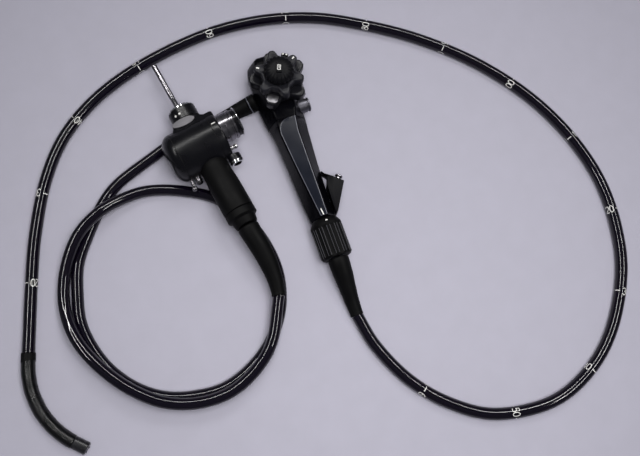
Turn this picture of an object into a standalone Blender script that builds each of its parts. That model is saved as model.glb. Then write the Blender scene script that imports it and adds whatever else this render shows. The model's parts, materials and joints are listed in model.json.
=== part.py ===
"""Flexible endoscope: control section, insertion tube with a bending section, universal cord and light connector.

Units are metres. The origin lies on the resting plane, under the shared axis of the two angulation knobs.
+Z is up through the knobs, -Y runs along the grip to the insertion tube, and +X is the side with the valve
cylinders and the channel port. The scope lies on its back with its tube and cord laid out on the same plane.
"""

import math

import bmesh
import bpy
from mathutils import Matrix, Vector

# Fits
GAP = 0.0003
RUNNING_GAP = 0.0008

# Cords
TUBE_DIAMETER = 0.0136
CORD_DIAMETER = 0.013
CORD_STEP = 0.038

# Control section: head and grip
BODY_HEIGHT = 0.042
WALL = 0.0025
CORNER_RADIUS = 0.004
SEAM_Y = -0.041
GRIP_END_Y = -0.163
PANEL_THICKNESS = 0.0015
COVER_THICKNESS = 0.003
CHASSIS_THICKNESS = 0.0025
CHASSIS_TOP_Z = 0.0105

# Knob stack on the common axis
LEVER_THICKNESS = 0.003
LEVER_REACH = 0.0395
LEVER_HUB_RADIUS = 0.0125
LEVER_ANGLE = math.radians(60.0)
UD_KNOB_RADIUS = 0.034
UD_KNOB_DEPTH = 0.0100
UD_KNOB_HEIGHT = 0.0135
UD_KNOB_LOBES = 5
RL_KNOB_RADIUS = 0.0275
RL_KNOB_DEPTH = 0.0080
LOBE_TOP = 0.055
LOBE_FLANK = 0.29
RL_KNOB_HEIGHT = 0.0125
RL_KNOB_LOBES = 6
LOCK_KNOB_RADIUS = 0.017
LOCK_KNOB_HEIGHT = 0.0115
UD_SHAFT_RADIUS = 0.007
RL_SHAFT_RADIUS = 0.0045
LOCK_SHAFT_RADIUS = 0.002
SPROCKET_RADIUS = 0.011
SPROCKET_THICKNESS = 0.004
SPROCKET_SPACING = 0.006

# Valve cylinders and remote switches
VALVE_RADIUS = 0.0083
VALVE_BORE_RADIUS = 0.0052
VALVE_INNER_X = 0.0145
VALVE_MOUTH_X = 0.0298
VALVE_HEIGHT = 0.0215
VALVE_YS = {"suction_cylinder": -0.0045, "air_water_cylinder": -0.0253}
SWITCH_COUNT = 2
SWITCH_RADIUS = 0.0042
SWITCH_STANDOFF = 0.0028
SWITCH_SPACING = 0.0115
SWITCH_HEIGHT = 0.024

# Channel branch
PORT_CENTRE = Vector((0.0292, GRIP_END_Y + 0.0387, 0.021))
PORT_DIRECTION = Vector((0.64, 0.768, 0.0)).normalized()
BRANCH_THICKNESS = 0.021
PORT_FLANGE_RADIUS = 0.0042
PORT_NECK_RADIUS = 0.0026
PORT_BORE_RADIUS = 0.0017
PORT_LENGTH = 0.0062

# Stiffness ring and insertion tube boot, on the axis of the tube
RING_AXIS_X = -0.0013
RING_DROP = 0.0015
RING_AXIS_Z = BODY_HEIGHT / 2.0 - RING_DROP
RING_RADIUS = 0.0182
RING_LENGTH = 0.0465
RING_FLUTES = 12
FLUTE_DEPTH = 0.0011
BOOT_LENGTH = 0.062
BOOT_START_RADIUS = 0.0122

# Universal cord boot at the control section
CORD_EXIT = Vector((-0.0311, -0.0016, 0.0163))
COLLAR_LENGTH = 0.005
COLLAR_RADIUS = 0.0106

# Light connector: drum across, head towards the light guide pin, sleeve towards the cord
CONNECTOR_ORIGIN = Vector((-0.1096, -0.0333, 0.0306))
CONNECTOR_TURN = math.radians(10.3)
CONNECTOR_PITCH = math.radians(-1.2)
DRUM_CENTRE_V = -0.008
DRUM_RADIUS = 0.028
DRUM_HEIGHT = 0.030
DRUM_RIGHT_U = 0.0316
DRUM_LEFT_U = -0.026
CAP_DEPTH = 0.0135
HEAD_RADIUS = 0.0163
HEAD_CENTRE_U = 0.0022
HEAD_BASE_V = 0.0275
HEAD_LENGTH = 0.0105
RIM_LENGTH = 0.006
PLATE_U = -0.0035
PLATE_V = 0.0203
PLATE_HEIGHT = 0.0181
PLATE_LENGTH = 0.027
PLATE_WIDTH = 0.0115
PLATE_THICKNESS = 0.0012
FACE_SLOPE = math.radians(20.4)
PIN_RADIUS = 0.0031
PIN_TIP_V = 0.108
SOCKET_RADIUS = 0.0172
SOCKET_WALL = 0.0034
SOCKET_LENGTH = 0.0185
SOCKET_CORE_CLEARANCE = 0.0023
SOCKET_RIM_LENGTH = 0.0028
STUD_OFFSET = 0.0092
SIDE_PORT_U = 0.0286
SIDE_PORT_RADIUS = 0.0076
SIDE_PORT_BORE_RADIUS = 0.005
SLEEVE_U = 0.0032
SLEEVE_START_RADIUS = 0.0165
SLEEVE_END_RADIUS = 0.0175
SLEEVE_END_V = -0.0955
SLEEVE_RING_LENGTH = 0.0185

# Bending section
BEND_RINGS = 10
BEND_PITCH = 0.0108
BEND_RING_RADIUS = 0.0071
BEND_RING_BORE = 0.0046
BEND_COLLAR_RADIUS = 0.0076
BEND_WEDGE = math.radians(21.0)
BEND_REST = math.radians(9.0)
HINGE_TILT = math.radians(45.0)
TIP_LENGTH = 0.0165
TIP_RADIUS = 0.0069
LENS_RADIUS = 0.0016
CHANNEL_RADIUS = 0.00185

# Routes laid out on the table, in metres, read as a smooth curve
TUBE_ROUTE = [
    (-0.001, -0.277, 0.0075), (0.007, -0.316, 0.0069), (0.029, -0.363, 0.0069), (0.063, -0.402, 0.0069),
    (0.108, -0.430, 0.0069), (0.171, -0.439, 0.0069), (0.225, -0.423, 0.0069), (0.271, -0.389, 0.0069),
    (0.310, -0.335, 0.0069), (0.329, -0.281, 0.0069), (0.335, -0.223, 0.0069), (0.326, -0.166, 0.0069),
    (0.305, -0.111, 0.0069), (0.274, -0.061, 0.0069), (0.235, -0.016, 0.0069), (0.186, 0.026, 0.0069),
    (0.135, 0.059, 0.0069), (0.082, 0.086, 0.0069), (0.025, 0.102, 0.0069), (-0.035, 0.107, 0.0069),
    (-0.093, 0.101, 0.0069), (-0.154, 0.086, 0.0069), (-0.207, 0.063, 0.0069), (-0.252, 0.029, 0.0069),
    (-0.285, -0.016, 0.0069), (-0.312, -0.075, 0.0069), (-0.329, -0.126, 0.0069), (-0.344, -0.177, 0.0074),
    (-0.350, -0.198, 0.0079),
]
CORD_ROUTE = [
    (-0.076, -0.0065, 0.0076), (-0.094, -0.010, 0.0068), (-0.113, -0.0135, 0.0068), (-0.142, -0.019, 0.0068),
    (-0.162, -0.026, 0.0068), (-0.207, -0.044, 0.0068), (-0.231, -0.062, 0.0068), (-0.254, -0.089, 0.0068),
    (-0.275, -0.120, 0.0068), (-0.285, -0.153, 0.0068), (-0.290, -0.185, 0.0068), (-0.285, -0.217, 0.0068),
    (-0.273, -0.246, 0.0068), (-0.253, -0.272, 0.0068), (-0.227, -0.291, 0.0068), (-0.196, -0.301, 0.0068),
    (-0.163, -0.303, 0.0068), (-0.130, -0.292, 0.0068), (-0.101, -0.271, 0.0068), (-0.079, -0.240, 0.0068),
    (-0.069, -0.203, 0.0068), (-0.072, -0.164, 0.0068), (-0.086, -0.126, 0.0068), (-0.111, -0.095, 0.0068),
    (-0.145, -0.075, 0.0068), (-0.179, -0.064, 0.0075), (-0.208, -0.066, 0.0135), (-0.236, -0.075, 0.0208),
    (-0.262, -0.0905, 0.0205), (-0.281, -0.112, 0.0165), (-0.295, -0.138, 0.0115), (-0.3005, -0.165, 0.0135),
    (-0.2985, -0.194, 0.0190), (-0.290, -0.221, 0.0212), (-0.274, -0.250, 0.0212), (-0.253, -0.276, 0.0212),
    (-0.227, -0.297, 0.0212), (-0.195, -0.309, 0.0212), (-0.160, -0.310, 0.0212), (-0.127, -0.297, 0.0212),
    (-0.100, -0.273, 0.0212), (-0.0775, -0.229, 0.0220),
]
CORD_BOOT_ROUTE = [(-0.0368, -0.0022, 0.0149), (-0.049, -0.0030, 0.0112), (-0.060, -0.0042, 0.0090)]
CORD_BOOT_RADII = [0.0102, 0.0093, 0.0081, 0.0073]
CONNECTOR_BOOT_ROUTE = [(-0.0857, -0.1465, 0.0330), (-0.0843, -0.1545, 0.0326), (-0.0803, -0.171, 0.0304),
                        (-0.0770, -0.190, 0.0272), (-0.0757, -0.211, 0.0239)]
CONNECTOR_BOOT_RADII = [0.0123, 0.0118, 0.0108, 0.0092, 0.0075]

# Looks of the bare model: colour, roughness, metallic
FINISHES = {
    "black_plastic": ((0.018, 0.018, 0.020), 0.45, 0.0),
    "gloss_black": ((0.010, 0.010, 0.012), 0.18, 0.0),
    "soft_black": ((0.022, 0.021, 0.023), 0.62, 0.0),
    "panel_grey": ((0.045, 0.048, 0.058), 0.22, 0.0),
    "steel": ((0.60, 0.59, 0.58), 0.28, 1.0),
    "chrome": ((0.80, 0.79, 0.78), 0.12, 1.0),
    "aluminium": ((0.66, 0.66, 0.67), 0.38, 1.0),
    "glass": ((0.10, 0.12, 0.16), 0.05, 0.0),
}


def finish(name):
    """Return the material called name, made on first use."""
    found = bpy.data.materials.get(name)
    if found:
        return found
    colour, roughness, metallic = FINISHES[name]
    made = bpy.data.materials.new(name)
    made.use_nodes = True
    shader = made.node_tree.nodes["Principled BSDF"]
    shader.inputs["Base Color"].default_value = (*colour, 1.0)
    shader.inputs["Roughness"].default_value = roughness
    shader.inputs["Metallic"].default_value = metallic
    return made


def pivot(name, place):
    """Add an empty whose world matrix is place, to carry the pieces of one moving body."""
    empty = bpy.data.objects.new(name, None)
    empty.matrix_world = place
    bpy.context.scene.collection.objects.link(empty)
    return empty


def add_piece(name, mesh, look, parent=None, crease=math.radians(32.0)):
    """Close a bmesh into an object with smooth shading, and put it under its parent empty."""
    bmesh.ops.remove_doubles(mesh, verts=mesh.verts, dist=1e-7)
    bmesh.ops.recalc_face_normals(mesh, faces=mesh.faces)
    data = bpy.data.meshes.new(name)
    mesh.to_mesh(data)
    mesh.free()
    data.shade_smooth()
    data.set_sharp_from_angle(angle=crease)
    data.materials.append(finish(look))
    piece = bpy.data.objects.new(name, data)
    bpy.context.scene.collection.objects.link(piece)
    if parent:
        piece.parent = parent
    return piece


def cutter(mesh, name, parent=None):
    """Turn a bmesh into a hidden tool for a Boolean."""
    tool = add_piece(name, mesh, "steel", parent)
    tool.hide_render = True
    tool.display_type = "WIRE"
    return tool


def cut(piece, tool, operation="DIFFERENCE"):
    """Cut piece with tool, or join the tool's body to it."""
    modifier = piece.modifiers.new(tool.name, "BOOLEAN")
    modifier.object = tool
    modifier.operation = operation
    modifier.solver = "EXACT"


def along(start, direction):
    """Return a matrix at start whose +Z points along direction."""
    turn = Vector(direction).to_track_quat("Z", "Y").to_matrix().to_4x4()
    return Matrix.Translation(Vector(start)) @ turn


def loft(rings):
    """Join rings of points, all of one count, into a closed skin with flat ends."""
    mesh = bmesh.new()
    loops = [[mesh.verts.new(point) for point in ring] for ring in rings]
    edges = []
    for loop in loops:
        edges.append([mesh.edges.new((loop[i - 1], loop[i])) for i in range(len(loop))])
    for lower, upper in zip(edges, edges[1:]):
        bmesh.ops.bridge_loops(mesh, edges=lower + upper)
    mesh.faces.new(loops[0])
    mesh.faces.new(loops[-1])
    return mesh


def turned(profile, steps=32, place=None):
    """Spin (radius, height) points about +Z; a profile that leaves the axis is closed into a tube."""
    mesh = bmesh.new()
    verts = [mesh.verts.new((radius, 0.0, height)) for radius, height in profile]
    edges = [mesh.edges.new(pair) for pair in zip(verts, verts[1:])]
    if profile[0][0] > 0.0:
        edges.append(mesh.edges.new((verts[-1], verts[0])))
    bmesh.ops.spin(mesh, geom=verts + edges, cent=(0, 0, 0), axis=(0, 0, 1), angle=math.tau, steps=steps,
                   use_merge=True)
    bmesh.ops.remove_doubles(mesh, verts=mesh.verts, dist=1e-7)
    if place:
        mesh.transform(place)
    return mesh


def disc(radius, low, high, bevel=0.0004):
    """Return the profile of a solid disc between two heights, with eased rims."""
    return [(0.0, low), (radius - bevel, low), (radius, low + bevel), (radius, high - bevel),
            (radius - bevel, high), (0.0, high)]


def tube(outer, inner, low, high, bevel=0.0003):
    """Return the profile of a plain tube between two heights, with its outer rims eased."""
    return [(inner, low), (outer - bevel, low), (outer, low + bevel), (outer, high - bevel),
            (outer - bevel, high), (inner, high)]


def rounded(points, radius, steps=3):
    """Return a polygon of (a, b) points with each corner rounded by an arc of steps points."""
    outline = []
    for i, point in enumerate(points):
        here = Vector(point)
        back = Vector(points[i - 1]) - here
        ahead = Vector(points[(i + 1) % len(points)]) - here
        half = back.angle(ahead) / 2.0
        reach = min(radius / math.tan(half), 0.45 * back.length, 0.45 * ahead.length)
        start = here + back.normalized() * reach
        end = here + ahead.normalized() * reach
        for step in range(steps):
            t = step / (steps - 1)
            outline.append(start * (1 - t) ** 2 + here * 2 * t * (1 - t) + end * t ** 2)
    return outline


def box_mesh(low, high):
    """Return a box between two corners."""
    mesh = bmesh.new()
    size = Vector(high) - Vector(low)
    bmesh.ops.create_cube(mesh, size=1.0)
    bmesh.ops.scale(mesh, vec=size, verts=mesh.verts)
    bmesh.ops.translate(mesh, vec=(Vector(high) + Vector(low)) / 2.0, verts=mesh.verts)
    return mesh


def smooth_curve(route, fine=16):
    """Return close points on a Catmull-Rom curve through the route's points."""
    points = [Vector(p) for p in route]
    ends = [points[0] * 2 - points[1], *points, points[-1] * 2 - points[-2]]
    curve = []
    for i in range(1, len(ends) - 2):
        a, b, c, d = ends[i - 1:i + 3]
        for step in range(fine):
            t = step / fine
            curve.append((b * 2 + (c - a) * t + (a * 2 - b * 5 + c * 4 - d) * t ** 2
                          + (b * 3 - a - c * 3 + d) * t ** 3) / 2.0)
    return curve + [points[-1]]


def even_points(route, step):
    """Return points at even steps, close to the step asked for, along the smooth curve through a route."""
    curve = smooth_curve(route)
    runs = [(b - a).length for a, b in zip(curve, curve[1:])]
    total = sum(runs)
    count = max(2, round(total / step))
    found, walked, i = [curve[0]], 0.0, 0
    for k in range(1, count):
        target = total * k / count
        while walked + runs[i] < target:
            walked += runs[i]
            i += 1
        found.append(curve[i].lerp(curve[i + 1], (target - walked) / runs[i]))
    return found + [curve[-1]]


def cord_piece(name, route, diameter, look):
    """Add a cord as a bevelled curve along its route."""
    data = bpy.data.curves.new(name, "CURVE")
    data.dimensions = "3D"
    data.bevel_depth = diameter / 2.0
    data.bevel_resolution = 3
    data.use_fill_caps = True
    data.twist_mode = "MINIMUM"
    points = even_points(route, CORD_STEP)
    spline = data.splines.new("POLY")
    spline.points.add(len(points) - 1)
    for target, point in zip(spline.points, points):
        target.co = (*point, 1.0)
    data.materials.append(finish(look))
    piece = bpy.data.objects.new(name, data)
    bpy.context.scene.collection.objects.link(piece)
    return piece


def end_chord(route, far=False):
    """Return a cord's end point and the direction in which the cord leaves it."""
    points = even_points(route, CORD_STEP)
    if far:
        points.reverse()
    return points[0], (points[1] - points[0]).normalized()


def boot_mesh(route, radii, cord_route, far=False, steps=20, rings=10):
    """Return a tapered strain relief that follows a route and ends square to the cord that it carries."""
    cord_end, leave = end_chord(cord_route, far)
    points = even_points([*route, cord_end - leave * GAP * 1.2], 0.001)
    found = []
    for k in range(rings + 1):
        t = k / rings
        at = min(int(t * (len(points) - 1)), len(points) - 2)
        heading = leave if k == rings else points[at + 1] - points[at]
        share = t * (len(radii) - 1)
        low = min(int(share), len(radii) - 2)
        radius = radii[low] + (radii[low + 1] - radii[low]) * (share - low)
        place = along(points[round(t * (len(points) - 1))], heading)
        found.append([place @ Vector((radius * math.cos(math.tau * i / steps),
                                      radius * math.sin(math.tau * i / steps), 0.0)) for i in range(steps)])
    return loft(found)


# Control section


def body_corners(left, right, top_left, top_right, height, base):
    """Return the eight corners of the body's section, as (x, z), from the bottom left round by the left side."""
    return [(right - 0.006, base), (left + 0.007, base), (left, base + 0.011), (left, base + 0.019),
            (top_left, height), (top_right, height), (right, base + 0.020), (right, base + 0.009)]


def body_section(y, left, right, top_left, top_right, height, base, inset=0.0):
    """Return one rounded section of the head or grip at y, drawn in by inset."""
    corners = body_corners(left + inset, right - inset, top_left + 0.4 * inset, top_right - 0.4 * inset,
                           height - inset, base + inset)
    return [Vector((x, y, z)) for x, z in rounded(corners, CORNER_RADIUS)]


HEAD_STATIONS = [
    (0.0420, -0.019, 0.011, -0.012, 0.006, BODY_HEIGHT - 0.007, 0.005),
    (0.0385, -0.0255, 0.0165, -0.016, 0.010, BODY_HEIGHT - 0.002, 0.001),
    (0.0330, -0.0285, 0.0190, -0.017, 0.011, BODY_HEIGHT, 0.0),
    (0.0100, -0.0305, 0.0205, -0.018, 0.012, BODY_HEIGHT, 0.0),
    (-0.0180, -0.0305, 0.0205, -0.0175, 0.012, BODY_HEIGHT, 0.0),
    (-0.0300, -0.0280, 0.0202, -0.0168, 0.010, BODY_HEIGHT, 0.0),
    (SEAM_Y, -0.0258, 0.0196, -0.0162, 0.0066, BODY_HEIGHT, 0.0),
]
SHELL_HEIGHT = BODY_HEIGHT - PANEL_THICKNESS
GRIP_STATIONS = [
    (SEAM_Y - GAP, -0.0256, 0.0196, -0.0162, 0.0066, SHELL_HEIGHT, 0.0),
    (-0.0560, -0.0228, 0.0182, -0.0172, 0.0042, SHELL_HEIGHT, 0.0),
    (-0.0970, -0.0203, 0.0150, -0.0137, 0.0034, SHELL_HEIGHT, 0.0),
    (-0.1370, -0.0186, 0.0132, -0.0092, 0.0033, SHELL_HEIGHT - 0.001, 0.0005),
    (GRIP_END_Y, -0.0166, 0.0122, -0.0062, 0.0029, SHELL_HEIGHT - 0.003, 0.0015),
]


def build_head():
    """Add the hollow head, its flat base cover and the chassis that carries the knob shafts."""
    head = add_piece("head_housing", loft([body_section(*s) for s in HEAD_STATIONS]), "black_plastic")
    inner = [body_section(*s, inset=WALL) for s in HEAD_STATIONS[2:]]
    mouth = [point + Vector((0.0, -0.004, 0.0)) for point in inner[-1]]
    cut(head, cutter(loft([*inner, mouth]), "head_cavity_tool"))
    cover_low = Vector((-0.020, -0.034, 0.0))
    cover_high = Vector((0.012, 0.028, COVER_THICKNESS))
    slack = Vector((GAP, GAP, 0.0))
    opening = box_mesh(cover_low - slack - Vector((0, 0, 0.002)), cover_high + slack + Vector((0, 0, 0.0005)))
    cut(head, cutter(opening, "base_opening_tool"))
    add_piece("head_base_cover", box_mesh(cover_low, cover_high), "soft_black")
    shaft_hole = turned(disc(UD_SHAFT_RADIUS + GAP, BODY_HEIGHT - 0.010, BODY_HEIGHT + 0.004))
    cut(head, cutter(shaft_hole, "shaft_hole_tool"))
    for name, y in VALVE_YS.items():
        place = along((VALVE_INNER_X - 0.001, y, VALVE_HEIGHT), (1, 0, 0))
        hole = turned(disc(VALVE_RADIUS + GAP, 0.0, 0.02), place=place)
        cut(head, cutter(hole, name + "_hole_tool"))
    for i, x in enumerate(switch_places()):
        place = along((x, 0.031, SWITCH_HEIGHT), (0, 1, 0))
        hole = turned(disc(SWITCH_RADIUS + GAP, 0.0, 0.02), 20, place)
        cut(head, cutter(hole, f"switch_hole_tool_{i + 1}"))
    build_chassis(cover_low, cover_high)


def build_chassis(cover_low, cover_high):
    """Add the bridge plate inside the head, standing on the base cover on two walls."""
    inset = 0.004
    low_x, high_x = cover_low.x + inset, cover_high.x - inset
    base = COVER_THICKNESS + GAP
    top = CHASSIS_TOP_Z
    under = top - CHASSIS_THICKNESS
    wall = CHASSIS_THICKNESS
    section = [(low_x, base), (low_x + wall, base), (low_x + wall, under), (high_x - wall, under),
               (high_x - wall, base), (high_x, base), (high_x, top), (low_x, top)]
    ends = [cover_low.y + inset, cover_high.y - inset]
    rings = [[Vector((x, y, z)) for x, z in section] for y in ends]
    chassis = add_piece("chassis_plate", loft(rings), "aluminium")
    hole = turned(disc(LOCK_SHAFT_RADIUS + GAP, under - 0.002, top + 0.002), 16)
    cut(chassis, cutter(hole, "chassis_hole_tool"))


def build_grip():
    """Add the hollow grip shell and the gloss panel laid on its top facet."""
    grip = add_piece("grip_shell", loft([body_section(*s) for s in GRIP_STATIONS]), "black_plastic")
    inner = [body_section(*s, inset=WALL) for s in GRIP_STATIONS]
    first = [point + Vector((0.0, 0.004, 0.0)) for point in inner[0]]
    last = [point + Vector((0.0, -0.004, 0.0)) for point in inner[-1]]
    cut(grip, cutter(loft([first, *inner[1:-1], last]), "grip_cavity_tool"))
    arch = [(SEAM_Y - GAP, -0.0010, 0.0061), (-0.0430, -0.0085, 0.0057), (-0.0487, -0.0142, 0.0050)]
    rings = []
    for y, left, right in arch:
        rings.append(panel_section(y, left, right, SHELL_HEIGHT))
    for y, left_x, right_x, top_left, top_right, height, base in GRIP_STATIONS[1:]:
        rings.append(panel_section(y, top_left + 0.0006, top_right - 0.0006, height))
    add_piece("grip_panel", loft(rings), "panel_grey")


def panel_section(y, left, right, seat):
    """Return one section of the gloss panel, sitting just above its seat."""
    low = seat + GAP
    high = seat + PANEL_THICKNESS
    ease = 0.0006
    outline = [(left, low), (left, high - ease), (left + ease, high), (right - ease, high), (right, high - ease),
               (right, low)]
    return [Vector((x, y, z)) for x, z in outline]


def switch_places():
    """Return the x of each remote switch, spread evenly across the head's end."""
    middle = -0.004
    return [middle + SWITCH_SPACING * (i - 0.5) for i in range(SWITCH_COUNT)]


def build_switches():
    """Add the remote switches in the head's end, each sliding along Y."""
    face = HEAD_STATIONS[0][0]
    for i, x in enumerate(switch_places()):
        place = along((x, face + SWITCH_STANDOFF, SWITCH_HEIGHT), (0, 1, 0))
        mount = pivot(f"remote_switch_{i + 1}_pivot", place)
        top = [(0.0, -0.010), (SWITCH_RADIUS, -0.010), (SWITCH_RADIUS, -0.0012), (SWITCH_RADIUS * 0.8, -0.0002),
               (0.0, 0.0)]
        add_piece(f"remote_switch_{i + 1}", turned(top, 20), "soft_black", mount)


def build_valves():
    """Add the two bare steel valve cylinders, each a cup that opens towards +X."""
    length = VALVE_MOUTH_X - VALVE_INNER_X
    floor = 0.0015
    for name, y in VALVE_YS.items():
        place = along((VALVE_INNER_X, y, VALVE_HEIGHT), (1, 0, 0))
        lip = VALVE_RADIUS - 0.0007
        profile = [(0.0, 0.0), (VALVE_RADIUS, 0.0), (VALVE_RADIUS, length - 0.004), (lip, length - 0.0036),
                   (lip, length - 0.0022), (VALVE_RADIUS, length - 0.0018), (VALVE_RADIUS, length - 0.0004),
                   (VALVE_RADIUS - 0.0004, length), (VALVE_BORE_RADIUS + 0.0005, length),
                   (VALVE_BORE_RADIUS, length - 0.0005), (VALVE_BORE_RADIUS, floor), (0.0, floor)]
        add_piece(name, turned(profile, 44, place), "steel")


def lobed_ring(radius, depth, lobes, z, shrink, turn):
    """Return one outline of a lobed knob: narrow blunt lobes with wide scallops between them."""
    per_lobe = 12
    points = []
    for i in range(lobes * per_lobe):
        angle = turn + math.tau * i / (lobes * per_lobe)
        away = abs((i / per_lobe + 0.5) % 1.0 - 0.5)
        fall = min(max((away - LOBE_TOP) / LOBE_FLANK, 0.0), 1.0)
        reach = radius - shrink - depth * fall * fall * (3.0 - 2.0 * fall)
        points.append(Vector((reach * math.cos(angle), reach * math.sin(angle), z)))
    return points


def lobed_knob(name, radius, depth, lobes, low, height, bore, turn, parent):
    """Add a lobed hand knob with a bore for its shaft."""
    ease = 0.0016
    rings = [lobed_ring(radius, depth, lobes, low, ease, turn),
             lobed_ring(radius, depth, lobes, low + ease, 0.0, turn),
             lobed_ring(radius, depth, lobes, low + height - ease, 0.0, turn),
             lobed_ring(radius, depth, lobes, low + height, ease, turn)]
    knob = add_piece(name, loft(rings), "soft_black", parent)
    hole = turned(disc(bore, low - 0.002, low + height + 0.002), 24)
    cut(knob, cutter(hole, name + "_bore_tool", parent))


def stack_heights():
    """Return the underside height of each piece in the knob stack, from the lever up."""
    lever = BODY_HEIGHT + RUNNING_GAP
    ud_knob = lever + LEVER_THICKNESS + RUNNING_GAP
    rl_knob = ud_knob + UD_KNOB_HEIGHT + 2 * RUNNING_GAP
    lock = rl_knob + RL_KNOB_HEIGHT + RUNNING_GAP
    return lever, ud_knob, rl_knob, lock


def build_knobs():
    """Add the lock lever, the two angulation knobs with their shafts and sprockets, and the lock knob."""
    lever_z, ud_z, rl_z, lock_z = stack_heights()
    axis = Matrix.Identity(4)
    lever_pivot = pivot("ud_lock_pivot", axis)
    ud_pivot = pivot("ud_knob_pivot", axis)
    rl_pivot = pivot("rl_knob_pivot", axis)
    lock_pivot = pivot("rl_lock_pivot", axis)
    build_lever(lever_z, lever_pivot)
    ud_top = ud_z + UD_KNOB_HEIGHT
    rl_top = rl_z + RL_KNOB_HEIGHT
    ud_bore = RL_SHAFT_RADIUS + GAP
    rl_bore = LOCK_SHAFT_RADIUS + GAP
    rl_base = CHASSIS_TOP_Z + RUNNING_GAP
    rl_sprocket_z = rl_base + 0.002
    ud_sprocket_z = rl_sprocket_z + SPROCKET_THICKNESS + SPROCKET_SPACING
    ud_base = ud_sprocket_z - 0.002
    ud_shaft = tube(UD_SHAFT_RADIUS, ud_bore, ud_base, ud_top - 0.001)
    rl_shaft = tube(RL_SHAFT_RADIUS, rl_bore, rl_base, rl_top - 0.001)
    add_piece("ud_shaft", turned(ud_shaft, 24), "steel", ud_pivot)
    add_piece("rl_shaft", turned(rl_shaft, 24), "steel", rl_pivot)
    lobed_knob("ud_knob", UD_KNOB_RADIUS, UD_KNOB_DEPTH, UD_KNOB_LOBES, ud_z, UD_KNOB_HEIGHT,
               UD_SHAFT_RADIUS + GAP, math.radians(20.0), ud_pivot)
    lobed_knob("rl_knob", RL_KNOB_RADIUS, RL_KNOB_DEPTH, RL_KNOB_LOBES, rl_z, RL_KNOB_HEIGHT,
               RL_SHAFT_RADIUS + GAP, math.radians(30.0), rl_pivot)
    sprocket("ud_sprocket", UD_SHAFT_RADIUS + GAP, ud_sprocket_z, ud_pivot)
    sprocket("rl_sprocket", RL_SHAFT_RADIUS + GAP, rl_sprocket_z, rl_pivot)
    dome_top = lock_z + LOCK_KNOB_HEIGHT
    post = disc(LOCK_SHAFT_RADIUS, COVER_THICKNESS + GAP, lock_z + LOCK_KNOB_HEIGHT * 0.5, 0.0002)
    add_piece("lock_shaft", turned(post, 16), "steel")
    socket_top = lock_z + LOCK_KNOB_HEIGHT * 0.5 + GAP
    dome = [(LOCK_SHAFT_RADIUS + GAP, lock_z), (LOCK_KNOB_RADIUS - 0.0008, lock_z),
            (LOCK_KNOB_RADIUS, lock_z + 0.0012), (LOCK_KNOB_RADIUS, lock_z + LOCK_KNOB_HEIGHT * 0.42)]
    for k in range(1, 5):
        bend = math.radians(90.0) * k / 5
        dome.append((0.004 + (LOCK_KNOB_RADIUS - 0.004) * math.cos(bend),
                     lock_z + LOCK_KNOB_HEIGHT * (0.42 + 0.58 * math.sin(bend))))
    dome += [(0.0, dome_top), (0.0, socket_top), (LOCK_SHAFT_RADIUS + GAP, socket_top)]
    add_piece("rl_lock_knob", turned_cup(dome, 36), "soft_black", lock_pivot)


def turned_cup(profile, steps):
    """Spin a closed profile that touches the axis at two middle points, such as a cap with a blind hole."""
    mesh = bmesh.new()
    verts = [mesh.verts.new((radius, 0.0, height)) for radius, height in profile]
    pairs = list(zip(verts, verts[1:] + verts[:1]))
    edges = [mesh.edges.new(pair) for pair in pairs if pair[0].co.x > 0.0 or pair[1].co.x > 0.0]
    bmesh.ops.spin(mesh, geom=verts + edges, cent=(0, 0, 0), axis=(0, 0, 1), angle=math.tau, steps=steps,
                   use_merge=True)
    bmesh.ops.remove_doubles(mesh, verts=mesh.verts, dist=1e-7)
    return mesh


def build_lever(low, parent):
    """Add the lock lever: a hub round the shaft with an arm that ends in a thumb tab."""
    high = low + LEVER_THICKNESS
    lever = add_piece("ud_lock_lever", turned(tube(LEVER_HUB_RADIUS, UD_SHAFT_RADIUS + GAP, low, high), 28),
                      "black_plastic", parent)
    half = 0.0042
    arm = [(LEVER_HUB_RADIUS - 0.002, -half), (LEVER_REACH, -half * 0.9), (LEVER_REACH, half * 0.9),
           (LEVER_HUB_RADIUS - 0.002, half)]
    outline = rounded(arm, 0.002)
    turn = Matrix.Rotation(LEVER_ANGLE, 4, "Z")
    ease = 0.0004
    rings = [[turn @ Vector((x, y, z)) for x, y in outline] for z in (low + ease, high - ease)]
    cut(lever, cutter(loft(rings), "lever_arm_tool", parent), "UNION")


def sprocket(name, bore, low, parent):
    """Add a drive sprocket with a groove round its rim for the angulation chain."""
    high = low + SPROCKET_THICKNESS
    groove = 0.0012
    middle = (low + high) / 2.0
    profile = [(bore, low), (SPROCKET_RADIUS, low), (SPROCKET_RADIUS - groove, middle), (SPROCKET_RADIUS, high),
               (bore, high)]
    add_piece(name, turned(profile, 24), "steel", parent)


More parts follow.
